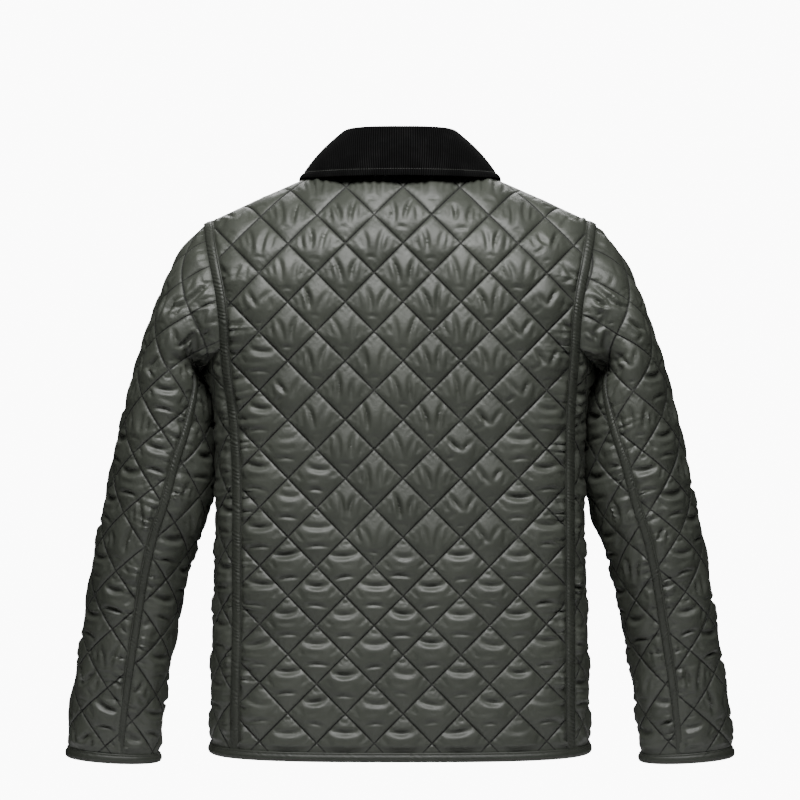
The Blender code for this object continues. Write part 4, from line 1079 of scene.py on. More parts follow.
# %% Swept trims
def swept(name, sections, closed=False):
    """A body that runs through its sections, each a ring with the same number of points."""
    count, ring = sections.shape[:2]
    this = np.arange(count if closed else count - 1)
    after = (this + 1) % count
    k = np.arange(ring)
    k_next = (k + 1) % ring
    faces = np.stack((
        this[:, None] * ring + k, this[:, None] * ring + k_next,
        after[:, None] * ring + k_next, after[:, None] * ring + k,
    ), axis=-1).reshape(-1, 4).tolist()
    if not closed:
        faces.append(list(range(ring)))
        faces.append(list(range((count - 1) * ring, count * ring)))
    way = np.concatenate(((0.0,), np.cumsum(np.linalg.norm(np.diff(sections.mean(axis=1), axis=0), axis=1))))
    flat = np.stack((np.repeat(way, ring), np.tile(k / ring, count)), axis=-1)
    piece = mesh_object(name, sections.reshape(-1, 3), faces, flat)
    print(name, "rings:", count)
    return piece


# %% [markdown]
# ## Felled strips
# The side-back seams and the elbow seams are felled: the seam's cloth is folded to one side and sewn
# down as a flat band. Its profile is swept along the seam, and small slanted puckers run across it.

# %% Felled strips
# way in from the seam, out from the stitch lines: one flat band with a row of stitches at its edge
STRIP_PROFILE = np.array((
    (-0.0013, 0.0001), (-0.0014, 0.0009), (-0.0005, 0.0017), (0.0012, 0.0023), (0.0030, 0.0025),
    (0.0048, 0.0025), (0.0062, 0.0023), (0.0073, 0.0017), (0.0079, 0.0007), (0.0085, 0.0007),
    (0.0090, 0.0012), (0.0096, 0.0012), (0.0100, 0.0008), (0.0099, 0.0003),
))
STITCH_IN = 0.0082           # from the seam to the strip's row of stitches
STRIP_END_GAP, STRIP_FOOT_GAP = 0.0060, -0.0012   # kept free at the strip's top, and at its foot
STRIP_FINER = 3
STRIP_WRINKLE, STRIP_WRINKLE_LENGTH = 0.00062, 0.0042


def strip_inset(outline, carries, inwards):
    """The outline moved in by so much at the seam, and by the gaps at the strip's two ends."""
    low = np.abs(outline[:, 1]) > 0.45
    ends = np.where(low, STRIP_FOOT_GAP, STRIP_END_GAP)
    return inset(outline, np.where(carries, inwards, ends))


def finer(line, times):
    """The same flat line with extra points between its own."""
    number = np.arange(len(line))
    at = np.linspace(0, len(line) - 1, (len(line) - 1) * times + 1)
    return np.stack([np.interp(at, number, line[:, axis]) for axis in (0, 1)], axis=-1)


def strip(name, outline, carries, first, count, place, seed):
    """A felled strip along the edges that carry it, which are so many from the first one on."""
    rings = []
    for inwards, out in STRIP_PROFILE:
        line = finer(strip_inset(outline, carries, inwards)[first:first + count], STRIP_FINER)
        points, normals = place(line)
        way = np.arange(len(line)) * FINE / STRIP_FINER
        slant = way + 0.5 * inwards + 0.0011 * np.sin(way * 143 + seed) + 0.0006 * np.sin(way * 411)
        wave = np.sin(2 * math.pi * slant / STRIP_WRINKLE_LENGTH + 0.9 * np.sin(way * 233))
        uneven = 0.60 + 0.40 * np.sin(way * 171 + 2 * seed + inwards * 300)
        lower = 0.45 + 0.55 * ease(np.minimum(way, way[::-1]) / 0.030)
        height = out * lower + STRIP_WRINKLE * wave * uneven * lower * (out > 0.0012)
        rings.append(points + normals * height[:, None])
    return swept(name, np.stack(rings, axis=1))


# for each strip: its sheet's outline, the edges that carry it, its first edge and their number, and
# how the sheet is placed
STRIP_WAYS = {}
for side, word in SIDES:
    start = 0 if side > 0 else RIGHT_STRIP_START
    STRIP_WAYS["side_strip_" + word] = BACK_OUTLINE, BACK_STRIPS, start, STRIP_COUNT, place_back
    STRIP_WAYS["elbow_strip_" + word] = *SLEEVE_SHEETS[word], place_sleeve(side)
for name, seed in (("side_strip_left", 1), ("side_strip_right", 2), ("elbow_strip_left", 6),
                   ("elbow_strip_right", 4)):
    pieces[name] = strip(name.replace("strip", "seam"), *STRIP_WAYS[name], seed)

# %% [markdown]
# ## Rolled bindings
# The hem, cuffs and front edges are wrapped in a folded strip of the same nylon. Folding leaves a round
# edge, and a row of stitches presses the strip's inner side down, so short slanted folds appear.

# %% Rolled bindings
# way in from the finished edge, out from the stitch lines
BINDING_PROFILE = np.array((
    (0.0100, -0.0022), (0.0100, 0.0004), (0.0114, 0.0005), (0.0112, 0.0017), (0.0101, 0.0022),
    (0.0089, 0.0019), (0.0080, 0.0027), (0.0066, 0.0035), (0.0048, 0.0038), (0.0030, 0.0035),
    (0.0014, 0.0026), (0.0003, 0.0012), (0.0000, 0.0002), (0.0004, -0.0010), (0.0018, -0.0022),
))
BINDING_FOLD, BINDING_FOLD_LENGTH = 0.00042, 0.0068
CUFF_DROP = 0.0022           # a cuff's fold hangs a little lower than its seam allows
CUFF_TURNS = np.linspace(0, 2 * math.pi, 109)[:-1]
FRONT_EDGE_LEVELS = spread(HEM_TOP + SEAM_GAP, NECK_FRONT_LEVEL)
HEM_ON_FRONT, HEM_ON_BACK = 136, 154


def binding_rings(points_at, count):
    """Rings of a binding: points_at gives points and normals for one way in from the edge."""
    rings = []
    way = np.arange(count) * FINE
    for inwards, out in BINDING_PROFILE:
        points, normals = points_at(inwards)
        slant = way + 0.9 * inwards + 0.0020 * np.sin(way * 71) + 0.0012 * np.sin(way * 173)
        fold = BINDING_FOLD * np.sin(2 * math.pi * slant / BINDING_FOLD_LENGTH)
        outside = ease((out - 0.0006) / 0.0015)
        rings.append(points + normals * (out + fold * outside)[:, None])
    return np.stack(rings, axis=1)


def hem_points(inwards):
    """Points round the hem, from the left front edge round the back to the right one."""
    level = HEM_Z + inwards
    runs = []
    for side in (1, -1):
        seam = girth_at(smooth(BACK_EDGE, edge_column(side), level), level, behind=True)
        girths = np.linspace(-LAP_OVER - BINDING_HEIGHT, seam, HEM_ON_FRONT)
        runs.append(place_front(side)(np.stack((girths, 0 * girths + level), axis=-1)))
    ends = [smooth(BACK_EDGE, edge_column(side), level) for side in (1, -1)]
    xs = np.linspace(ends[0], -ends[1], HEM_ON_BACK)[1:-1]
    behind = place_back(np.stack((xs, 0 * xs + level), axis=-1))
    return [np.concatenate((runs[0][k], behind[k], runs[1][k][::-1])) for k in (0, 1)]


def front_points(side, inwards):
    """Points up a front's edge."""
    girths = 0 * FRONT_EDGE_LEVELS - LAP_OVER - BINDING_HEIGHT + inwards
    return place_front(side)(np.stack((girths, FRONT_EDGE_LEVELS), axis=-1))


def cuff_points(side, inwards):
    """Points round a cuff."""
    points, normals = with_normals(sleeve_surface, CUFF_TURNS, 0 * CUFF_TURNS + SLEEVE_END - inwards, -1.0)
    points = points + ARM_DOWN * CUFF_DROP * ease((0.0075 - inwards) / 0.0065)
    return points * (side, 1, 1), normals * (side, 1, 1)


pieces["hem_binding"] = swept("hem_roll", binding_rings(hem_points, 2 * HEM_ON_FRONT + HEM_ON_BACK - 2))
for side, word in SIDES:
    rings = binding_rings(partial(front_points, side), len(FRONT_EDGE_LEVELS))
    pieces["front_binding_" + word] = swept("front_roll_" + word, rings)
    rings = binding_rings(partial(cuff_points, side), len(CUFF_TURNS))
    pieces["cuff_binding_" + word] = swept("cuff_roll_" + word, rings, closed=True)


# %% [markdown]
# ## The collar
# A shirt-like collar: a stand rises from the neck, rolls over and falls outwards over the shoulders.
# Its roll line and its fall edge are two curves round the neck, and the rows between them make the fall,
# so the two curves alone shape the whole collar.

# %% The collar's curves
# turn from the centre back in degrees, roll line x, y, z, fall edge x, y, z
COLLAR = np.array((
    (-30, -0.0370, 0.0500, 0.0585, -0.0610, 0.0800, -0.0022),
    (0, 0.0000, 0.0560, 0.0585, 0.0000, 0.0905, -0.0022),
    (30, 0.0370, 0.0500, 0.0585, 0.0610, 0.0800, -0.0022),
    (60, 0.0600, 0.0290, 0.0580, 0.1035, 0.0460, -0.0012),
    (75, 0.0655, 0.0140, 0.0570, 0.1145, 0.0240, 0.0004),
    (90, 0.0680, -0.0020, 0.0555, 0.1205, 0.0000, 0.0002),
    (115, 0.0650, -0.0330, 0.0440, 0.1180, -0.0470, -0.0070),
    (140, 0.0500, -0.0640, 0.0150, 0.1030, -0.0945, -0.0500),
    (160, 0.0290, -0.0850, -0.0130, 0.0800, -0.1190, -0.0980),
    (180, 0.0095, -0.1000, -0.0380, 0.0560, -0.1320, -0.1400),
))
COLLAR_WALL, COLLAR_LIFT, COLLAR_END = 0.0030, 0.07, 176
COLLAR_BELLY = 0.0035        # how far the fall bows out between roll and edge
ROLL_RADIUS = 0.0050
COLLAR_COLUMNS = 881
FALL_ROWS = 26


def collar_line(turns, first_column):
    """Points of a collar line for turns in degrees, negative ones on the wearer's right."""
    size = np.abs(turns)
    points = np.stack([smooth(COLLAR, first_column + k, size) for k in range(3)], axis=-1)
    return points * np.stack((np.where(turns < 0, -1.0, 1.0), 0 * turns + 1, 0 * turns + 1), axis=-1)


def collar_rows(turns):
    """Outer face of roll and fall, from the inside of the neck over the roll to the edge."""
    roll = collar_line(turns, 1)
    edge = collar_line(turns, 4)
    outward = edge - roll
    outward[:, 2] = 0
    outward /= np.linalg.norm(outward, axis=1, keepdims=True)
    up = np.array((0.0, 0.0, 1.0))
    rows = [roll + outward * -0.0058 + up * -0.0070]
    for angle in np.radians(np.linspace(172, 40, 9)):
        rows.append(roll + (outward * math.cos(angle) + up * (math.sin(angle) - 1)) * ROLL_RADIUS)
    start = rows[-1]
    for share in np.linspace(0, 1, FALL_ROWS)[1:]:
        belly = COLLAR_BELLY * math.sin(math.pi * share)
        rows.append(start + (edge - start) * share + (outward + up) * belly / math.sqrt(2))
    return np.array(rows)


COLLAR_TURNS = np.linspace(-COLLAR_END, COLLAR_END, COLLAR_COLUMNS)
collar_outer = collar_rows(COLLAR_TURNS)
print("collar rows and columns:", collar_outer.shape[:2])

# %% [markdown]
# ## Unrolling the collar
# Corduroy is cut flat, so its cords run straight on the flat piece and not on the worn one. The fall is
# unrolled column by column, with every triangle kept at its true size, and that is the map of its cords.

# %% Unrolling the collar
def unrolled(start, end):
    """Flat places of two lines in space, with every triangle between them kept at its true size."""
    flat_start, flat_end = [np.zeros(2)], [np.array((0.0, -np.linalg.norm(end[0] - start[0])))]

    def third(p, q, to_p, to_q, sign):
        way = q - p
        span = np.linalg.norm(way)
        along = (to_p ** 2 - to_q ** 2 + span ** 2) / (2 * span)
        aside = math.sqrt(max(to_p ** 2 - along ** 2, 0.0))
        return p + way / span * along + sign * np.array((-way[1], way[0])) / span * aside

    for k in range(1, len(start)):
        p, q = flat_start[-1], flat_end[-1]
        new_end = third(p, q, np.linalg.norm(end[k] - start[k - 1]), np.linalg.norm(end[k] - end[k - 1]), 1)
        new_start = third(p, new_end, np.linalg.norm(start[k] - start[k - 1]),
                          np.linalg.norm(start[k] - end[k]), 1)
        flat_start.append(new_start)
        flat_end.append(new_end)
    return np.array(flat_start), np.array(flat_end)


def flat_grid(rows):
    """Flat coordinates of a grid of points, unrolled from its middle column both ways."""
    middle = rows.shape[1] // 2
    sides = []
    for columns, sign in ((rows[:, middle:], 1), (rows[:, middle::-1], -1)):
        top, low = unrolled(columns[0], columns[-1])
        lengths = np.linalg.norm(np.diff(columns, axis=0), axis=-1).cumsum(axis=0)
        share = np.concatenate((np.zeros((1, columns.shape[1])), lengths / lengths[-1]))[..., None]
        sides.append((top + (low - top) * share) * (sign, 1))
    return np.concatenate((sides[1][:, :0:-1], sides[0]), axis=1)


collar_flat = flat_grid(collar_outer)
print("flat width of the fall:", round(float(np.ptp(collar_flat[..., 0])), 3))

# %% [markdown]
# ## The fall of the collar
# The fall is a wall between two grids. Its outer face carries the raised cords, a stitched line pressed
# in near the edge and a thicker roll at the edge, each a height along the normals.

# %% The fall of the collar
def grid_normals(rows):
    normals = np.cross(np.gradient(rows, axis=0), np.gradient(rows, axis=1))
    return normals / np.linalg.norm(normals, axis=-1, keepdims=True)


def walled(name, outer, inner, flat):
    """A closed wall between two grids of points with the same rows and columns."""
    rows, columns = outer.shape[:2]
    here = (np.arange(rows - 1)[:, None] * columns + np.arange(columns - 1)).reshape(-1, 1)
    quads = here + np.array((0, 1, columns + 1, columns))
    shift = rows * columns
    rim = [*range(columns), *(np.arange(1, rows) * columns + columns - 1)]
    rim += [*range(rows * columns - 2, (rows - 1) * columns - 1, -1)]
    rim += [*(np.arange(rows - 2, 0, -1) * columns)]
    rim = np.array(rim)
    after = np.roll(rim, -1)
    faces = np.concatenate((quads, quads[:, ::-1] + shift,
                            np.stack((rim, after, after + shift, rim + shift), axis=-1)))
    points = np.concatenate((outer.reshape(-1, 3), inner.reshape(-1, 3)))
    piece = mesh_object(name, points, faces.tolist(), np.tile(flat.reshape(-1, 2), (2, 1)))
    print(name, "quads:", len(faces))
    return piece


CORD_PITCH, CORD_HEIGHT = 0.0026, 0.00060
EDGE_ROLL = 0.0012           # the stitched edge is a little thicker than the rest
TOPSTITCH_IN = 0.0085        # from the fall's edge to its row of stitches
PRESS, PRESS_WIDTH = 0.0009, 0.0011
TURN_LENGTH = 0.0021         # one degree of turn along the fall's front edge
collar_normals = grid_normals(collar_outer)
if collar_normals[-3, COLLAR_COLUMNS // 2, 1] < 0:
    collar_normals = -collar_normals
to_edge = np.linalg.norm(np.diff(collar_outer, axis=0), axis=-1)[::-1].cumsum(axis=0)[::-1]
to_edge = np.concatenate((to_edge, np.zeros((1, COLLAR_COLUMNS))))
to_front = (COLLAR_END - np.abs(COLLAR_TURNS)) * TURN_LENGTH
rim_distance = np.minimum(to_edge, to_front)
pressed = PRESS * bell(rim_distance, TOPSTITCH_IN, PRESS_WIDTH)
puffed = EDGE_ROLL * np.clip(1 - ((rim_distance - 0.004) / 0.0042) ** 2, 0, None)
cords = CORD_HEIGHT * np.abs(np.cos(math.pi * collar_flat[..., 0] / CORD_PITCH)) ** 0.7
collar_face = collar_outer + collar_normals * (puffed + cords - pressed)[..., None]
collar_inner = collar_outer - collar_normals * COLLAR_WALL
collar_inner[-1] += (collar_inner[-2] - collar_inner[-1]) * 0.5
pieces["collar_fall"] = walled("collar_fall_cord", collar_face, collar_inner, collar_flat)

# %% [markdown]
# ## The stand of the collar
# The stand is the low wall between the neck seam and the roll. Its foot is the panels' own neck line,
# so the collar sits on the seam, and it leans in a little towards the roll above it.

# %% The stand of the collar
STAND_ROWS = 7


def neck_line(turns):
    """The neck edge of the panels, for the same turns."""
    points = []
    for turn, angle in zip(turns, np.radians(np.abs(turns))):
        side = -1 if turn < 0 else 1
        x = NECK_HALF * math.sin(angle)
        if angle <= math.pi / 2:
            place, flat = place_back, (x * side, back_neck_level(x))
        else:
            level = front_neck_level(math.pi - angle)
            place, flat = place_front(side), (girth_at(x, level), level)
        found, normals = place(np.array((flat,)))
        points.append((found - normals * WALL / 2)[0])
    return np.array(points)


foot = neck_line(COLLAR_TURNS)
foot += (collar_outer[0] - foot) * COLLAR_LIFT
below = np.array((0.0, 0.0, -SEAM_GAP))
half_wall = (collar_inner[0] - collar_outer[0]) / 2
shares = np.linspace(0, 1, STAND_ROWS)[:, None, None]
inside_rows = foot - half_wall + (collar_outer[0] + below - foot + half_wall) * shares
outside_rows = foot + half_wall + (collar_inner[0] + below - foot - half_wall) * shares
stand_flat = flat_grid(inside_rows)
pieces["collar_stand"] = walled("collar_stand_cord", inside_rows, outside_rows, stand_flat)

for key, flat in (("collar_fall", collar_flat), ("collar_stand", stand_flat)):
    first, second = flat[1:, 1:] - flat[:-1, :-1], flat[1:, :-1] - flat[:-1, 1:]


# %% [markdown]
# ## Snap buttons
# Five snaps close the front lap. A snap's cap is a pressed disc: a short cylinder whose top is drawn in
# and raised in steps. It is modelled once, and each copy is set square to the cloth at its level.

# %% Snap buttons
SNAP_LEVELS = np.linspace(-0.100, -0.610, 5)
SNAP_SEAT = 0.0004           # from the lap's stitch surface to the cap's flat foot
SNAP_FOOT = 0.0066           # radius of the foot
# radius, height of each ring above the foot
SNAP_RINGS = ((0.0073, 0.0003), (0.0075, 0.0008), (0.0075, 0.0014), (0.0070, 0.0019), (0.0060, 0.0023),
              (0.0052, 0.0021), (0.0046, 0.0022), (0.0034, 0.0028), (0.0018, 0.0031))


def snap_cap():
    """One cap at the origin, its foot on the ground plane."""
    bpy.ops.object.select_all(action="DESELECT")
    bpy.ops.mesh.primitive_circle_add(vertices=48, radius=SNAP_FOOT, fill_type="NGON")
    cap = bpy.context.object
    bpy.ops.object.mode_set(mode="EDIT")
    bpy.ops.mesh.select_all(action="SELECT")
    radius, height = SNAP_FOOT, 0.0
    for next_radius, next_height in SNAP_RINGS:
        bpy.ops.mesh.extrude_region_move(
            TRANSFORM_OT_translate={"value": (0, 0, next_height - height)})
        share = next_radius / radius
        bpy.ops.transform.resize(value=(share, share, 1), center_override=(0, 0, next_height))
        radius, height = next_radius, next_height
    bpy.ops.mesh.select_all(action="SELECT")
    bpy.ops.mesh.normals_make_consistent(inside=False)
    bpy.ops.object.mode_set(mode="OBJECT")
    bpy.ops.object.shade_smooth_by_angle(angle=math.radians(50))
    return cap


cap = snap_cap()
for number, level in enumerate(SNAP_LEVELS, 1):
    place, normal = place_front(1)(np.array(((0.0, level),)))
    foot_place = Vector(place[0] + normal[0] * SNAP_SEAT)
    turned = Vector(normal[0]).to_track_quat("Z", "Y").to_matrix().to_4x4()
    turned.translation = foot_place
    snap = cap.copy()
    snap.data = cap.data.copy()
    snap.name = snap.data.name = f"snap_cap_{number}"
    snap.data.transform(turned)
    bpy.context.scene.collection.objects.link(snap)
    pieces[f"snap_{number}"] = snap
bpy.data.objects.remove(cap)
print("snaps:", len(SNAP_LEVELS))


# %% [markdown]
# ## Rows of stitches
# A sewing machine leaves a row of short thread runs that dive into the cloth at both ends. One row is
# one piece: each stitch is a thin rounded bar, laid on the cloth where the seam's line passes.

# %% One row of stitches
STITCH_PITCH, STITCH_BAR, THREAD_RADIUS = 0.0033, 0.0025, 0.00022
BAR_SHARES = np.array((0.0, 0.18, 0.5, 0.82, 1.0))
BAR_RISE = np.array((-1.2, 0.4, 0.8, 0.4, -1.2))
BAR_SIDES = np.radians(np.arange(0, 360, 72))


def stitch_row(name, points, normals):
    """Bars of thread along a line of points that lies on the cloth."""
    steps = np.linalg.norm(np.diff(points, axis=0), axis=1)
    way = np.concatenate(((0.0,), np.cumsum(steps)))
    starts = np.arange(STITCH_PITCH / 2, way[-1] - STITCH_BAR, STITCH_PITCH)
    at = starts[:, None] + BAR_SHARES * STITCH_BAR
    middle = np.stack([np.interp(at, way, points[:, k]) for k in range(3)], axis=-1)
    up = np.stack([np.interp(at, way, normals[:, k]) for k in range(3)], axis=-1)
    along = middle[:, -1] - middle[:, 0]
    along /= np.linalg.norm(along, axis=1, keepdims=True)
    aside = np.cross(along[:, None], up)
    middle = middle + up * (BAR_RISE * THREAD_RADIUS)[:, None]
    rings = (middle[:, :, None] + aside[:, :, None] * (THREAD_RADIUS * np.cos(BAR_SIDES))[:, None]
             + up[:, :, None] * (THREAD_RADIUS * np.sin(BAR_SIDES))[:, None])
    count, sections, sides = rings.shape[:3]
    ring = np.arange(sides)
    near = (np.arange(sections - 1)[:, None] * sides + ring).ravel()
    turned = (np.arange(sections - 1)[:, None] * sides + (ring + 1) % sides).ravel()
    bar = np.stack((near, turned, turned + sides, near + sides), axis=-1)
    shift = np.arange(count)[:, None, None] * sections * sides
    faces = (bar + shift).reshape(-1, 4).tolist()
    ends = np.concatenate((ring, ring + (sections - 1) * sides)).reshape(2, sides)
    faces += (ends + shift).reshape(-1, sides).tolist()
    piece = mesh_object(name, rings.reshape(-1, 3), faces)
    print(name, "stitches:", count)
    return piece


# %% [markdown]
# ## All the rows
# Each trim is sewn down by one row: along the strips, round the cuffs and the hem, and beside the
# collar's edge. The row lies a little above its trim's face, so the thread shows.

# %% All the rows
STRIP_FACE, BINDING_FACE, CORD_FACE = 0.0009, 0.0021, 0.0002
BINDING_STITCH_IN = 0.0088   # from a binding's finished edge to its row of stitches
COLLAR_ROW_ENDS = 6          # columns of the collar that its row leaves free at each front edge
rows_of_thread = []
for side, word in SIDES:
    for trim in ("side", "elbow"):
        outline, carries, first, count, place = STRIP_WAYS[f"{trim}_strip_{word}"]
        line = strip_inset(outline, carries, STITCH_IN)[first:first + count]
        rows_of_thread.append((f"{trim}_stitches_{word}", *place(finer(line, STRIP_FINER)), STRIP_FACE))
    cuff = np.linspace(0, 2 * math.pi, 181)
    points, normals = with_normals(sleeve_surface, cuff, 0 * cuff + SLEEVE_END - BINDING_STITCH_IN, -1.0)
    mirror = np.array((side, 1, 1))
    rows_of_thread.append(("cuff_stitches_" + word, points * mirror, normals * mirror, BINDING_FACE))
rows_of_thread.append(("hem_stitches", *hem_points(BINDING_STITCH_IN), BINDING_FACE))
stitched = np.abs(to_edge[:, COLLAR_COLUMNS // 2] - TOPSTITCH_IN).argmin()
sewn = slice(COLLAR_ROW_ENDS, -COLLAR_ROW_ENDS)
rows_of_thread.append(("collar_stitches", collar_face[stitched, sewn], collar_normals[stitched, sewn],
                       CORD_FACE))
stitch_rows = {name: stitch_row(name, points + normals * above, normals)
               for name, points, normals, above in rows_of_thread}

# %% [markdown]
# ## Node helpers
# A material is a small network. These helpers keep each finish short to read: one gives a node its
# inputs, one adds a node, and the others add a sum, a ramp, a noise, a blend or a bump.

# %% Node helpers
def finish_of(name):
    """A new material, its node tree and its shader."""
    material = bpy.data.materials.new(name)
    material.use_nodes = True
    tree = material.node_tree
    return material, tree, tree.nodes["Principled BSDF"]


def wired(tree, made, inputs):
    """Gives a node its inputs: each is a value, or a socket to link."""
    for key, value in dict(inputs).items():
        if isinstance(value, bpy.types.NodeSocket):
            tree.links.new(value, made.inputs[key])
        else:
            made.inputs[key].default_value = value
    return made


def node(tree, kind, inputs=(), **settings):
    """A new node with its settings and inputs."""
    made = tree.nodes.new("ShaderNode" + kind)
    for key, value in settings.items():
        setattr(made, key, value)
    return wired(tree, made, inputs)


def sum_of(tree, operation, *values):
    return node(tree, "Math", enumerate(values), operation=operation).outputs[0]


def eased(tree, value, low, high, to_low=0.0, to_high=1.0):
    inputs = {0: value, 1: low, 2: high, 3: to_low, 4: to_high}
    return node(tree, "MapRange", inputs, interpolation_type="SMOOTHSTEP").outputs[0]


def noise(tree, scale, detail=3.0, rough=0.5, distortion=0.0):
    place = node(tree, "TexCoord").outputs["Object"]
    inputs = {"Vector": place, "Scale": scale, "Detail": detail, "Roughness": rough, "Distortion": distortion}
    return node(tree, "TexNoise", inputs).outputs[0]


def blend_of(tree, share, first, second):
    return node(tree, "Mix", {0: share, 6: first, 7: second}, data_type="RGBA").outputs[2]


def bumped(tree, height, distance, strength=1.0, under=None):
    inputs = {"Height": height, "Distance": distance, "Strength": strength}
    if under is not None:
        inputs["Normal"] = under
    return node(tree, "Bump", inputs).outputs[0]


def flat_map(tree):
    """The two flat coordinates of the piece's own map."""
    split = node(tree, "SeparateXYZ", {0: node(tree, "UVMap", uv_map="flat").outputs[0]})
    return split.outputs[0], split.outputs[1]


# %% [markdown]
# ## Satin nylon
# The shell is a tight nylon weave, calendered so that it shines softly: dark olive, a satin roughness,
# and a broad highlight. On the panels the map counts rows of stitches, so the material finds each
# stitch line by itself and paints shade into its groove, with single stitches in it.

# %% Satin nylon
OLIVE, OLIVE_WORN = (0.0236, 0.0262, 0.0204, 1), (0.0305, 0.0335, 0.0265, 1)
# painted shade: the near-black colour painted into each stitch groove, and towards which the trims are
# darkened
PAINTED_SHADE = (0.0012, 0.0012, 0.0012, 1)
TRIM_SHADE = 0.30            # painted shade: strips and bindings, pressed flat, are the same nylon painted this much darker
ROW_PITCH = 0.0477           # from one row of stitches to the next that leans the same way
STITCH_LENGTH = 0.0031


def nylon_ground(tree):
    """Colour, bump and roughness of the bare nylon: cloudy dye, a fine weave and small crinkles."""
    cloud = eased(tree, noise(tree, 14, 4, 0.6), 0.35, 0.70)
    colour = blend_of(tree, cloud, OLIVE, OLIVE_WORN)
    weave = noise(tree, 2600, 2, 0.6)
    crinkle = noise(tree, 210, 4, 0.62, 0.6)
    bump = bumped(tree, crinkle, 0.0008, 0.5)
    bump = bumped(tree, weave, 0.0002, 0.35, bump)
    rough = eased(tree, noise(tree, 90, 3), 0.3, 0.7, 0.47, 0.54)
    return colour, bump, rough


def quilted_nylon():
    material, tree, shader = finish_of("quilted_nylon")
    colour, bump, rough = nylon_ground(tree)
    row, other = flat_map(tree)
    lines = []
    for across, along in ((row, other), (other, row)):
        away = sum_of(tree, "MULTIPLY", sum_of(tree, "PINGPONG", across, 0.5), ROW_PITCH)
        place = sum_of(tree, "PINGPONG", sum_of(tree, "MULTIPLY", along, ROW_PITCH / STITCH_LENGTH), 0.5)
        lines.append((away, sum_of(tree, "MULTIPLY", eased(tree, away, 0.0004, 0.0002),
                                   eased(tree, place, 0.12, 0.20))))
    near = sum_of(tree, "MINIMUM", lines[0][0], lines[1][0])
    groove = eased(tree, near, 0.0011, 0.0006)
    thread = sum_of(tree, "MAXIMUM", lines[0][1], lines[1][1])
    # painted shade: the groove along each stitch line is darkened in the colour, where shade falls
    colour = blend_of(tree, sum_of(tree, "MULTIPLY", groove, 0.9), colour, PAINTED_SHADE)
    colour = blend_of(tree, sum_of(tree, "MULTIPLY", thread, 0.6), colour, OLIVE)
    bump = bumped(tree, thread, 0.0004, 0.6, bump)
    rough = eased(tree, groove, 0.0, 1.0, rough, 0.85)
    wired(tree, shader, {"Base Color": colour, "Normal": bump, "Roughness": rough,
                         "Specular IOR Level": 0.38})
    return material


def plain_nylon():
    material, tree, shader = finish_of("binding_nylon")
    colour, bump, rough = nylon_ground(tree)
    # painted shade: the trims' nylon is darkened by TRIM_SHADE towards the painted shade colour
    colour = blend_of(tree, TRIM_SHADE, colour, PAINTED_SHADE)
    wired(tree, shader, {"Base Color": colour, "Normal": bump, "Roughness": rough,
                         "Specular IOR Level": 0.27})
    return material


finishes = {"quilted_cloth": quilted_nylon(), "binding_cloth": plain_nylon()}
print("nodes in the quilted nylon:", len(finishes["quilted_cloth"].node_tree.nodes))


# %% [markdown]
# ## Corduroy
# Corduroy is cut pile in raised cords, here about ten to the inch, running up and down at the centre
# back. The map of the collar is its unrolled cloth, so the cords stay straight on it. Its colour carries
# painted shade in the gaps between the cords and a painted soft sheen on the cords' crowns.

# %% Corduroy
# painted light: the pile's colour on the lit crowns, and painted shade for the gaps between the cords
LIT_CROWN, SHADED_GAP = (0.0044, 0.0044, 0.0044, 1), (0.0001, 0.0001, 0.0001, 1)


def corduroy():
    material, tree, shader = finish_of("black_corduroy")
    across, _ = flat_map(tree)
    stray = sum_of(tree, "MULTIPLY", noise(tree, 160, 2), 0.10)
    place = sum_of(tree, "ADD", sum_of(tree, "DIVIDE", across, CORD_PITCH), stray)
    gap = sum_of(tree, "PINGPONG", sum_of(tree, "ADD", place, 0.5), 0.5)
    crown = eased(tree, gap, 0.08, 0.36)
    fibre = noise(tree, 1500, 3, 0.7)
    wear = eased(tree, noise(tree, 28, 4, 0.65), 0.40, 0.75)
    # painted sheen on the crowns, varied by wear, with painted shade in the gaps between them
    lit_and_worn = sum_of(tree, "MULTIPLY", crown, sum_of(tree, "ADD", 0.55, sum_of(tree, "MULTIPLY", wear, 0.7)))
    colour = blend_of(tree, lit_and_worn, SHADED_GAP, LIT_CROWN)
    bump = bumped(tree, crown, 0.0004, 0.8)
    bump = bumped(tree, fibre, 0.0003, 0.5, bump)
    wired(tree, shader, {"Base Color": colour, "Normal": bump, "Roughness": 0.92,
                         "Specular IOR Level": 0.03, "Sheen Weight": 0.006, "Sheen Roughness": 0.5})
    return material


finishes["corduroy"] = corduroy()
print("cords on the fall:", int(np.ptp(collar_flat[..., 0]) / CORD_PITCH))


# %% [markdown]
# ## Thread and brass
# The sewing thread is matt and a little lighter than the cloth. The snaps are brass that has aged: dark
# in stained patches, brighter between them.

# %% Thread and brass
def sewing_thread():
    material, tree, shader = finish_of("sewing_thread")
    twist = noise(tree, 2400, 2)
    colour = blend_of(tree, twist, (0.018, 0.019, 0.016, 1), (0.040, 0.042, 0.036, 1))
    wired(tree, shader, {"Base Color": colour, "Normal": bumped(tree, twist, 0.0001, 0.5),
                         "Roughness": 0.7})
    return material


def aged_brass():
    material, tree, shader = finish_of("aged_brass")
    stain = eased(tree, noise(tree, 420, 5, 0.7), 0.40, 0.68)
    colour = blend_of(tree, stain, (0.36, 0.26, 0.12, 1), (0.11, 0.085, 0.05, 1))
    wired(tree, shader, {"Base Color": colour, "Normal": bumped(tree, noise(tree, 900, 3), 0.0002, 0.3),
                         "Roughness": eased(tree, stain, 0.0, 1.0, 0.28, 0.55), "Metallic": 1.0})
    return material


finishes["thread"] = sewing_thread()
finishes["aged_brass"] = aged_brass()
print("finishes:", ", ".join(m.name for m in finishes.values()))
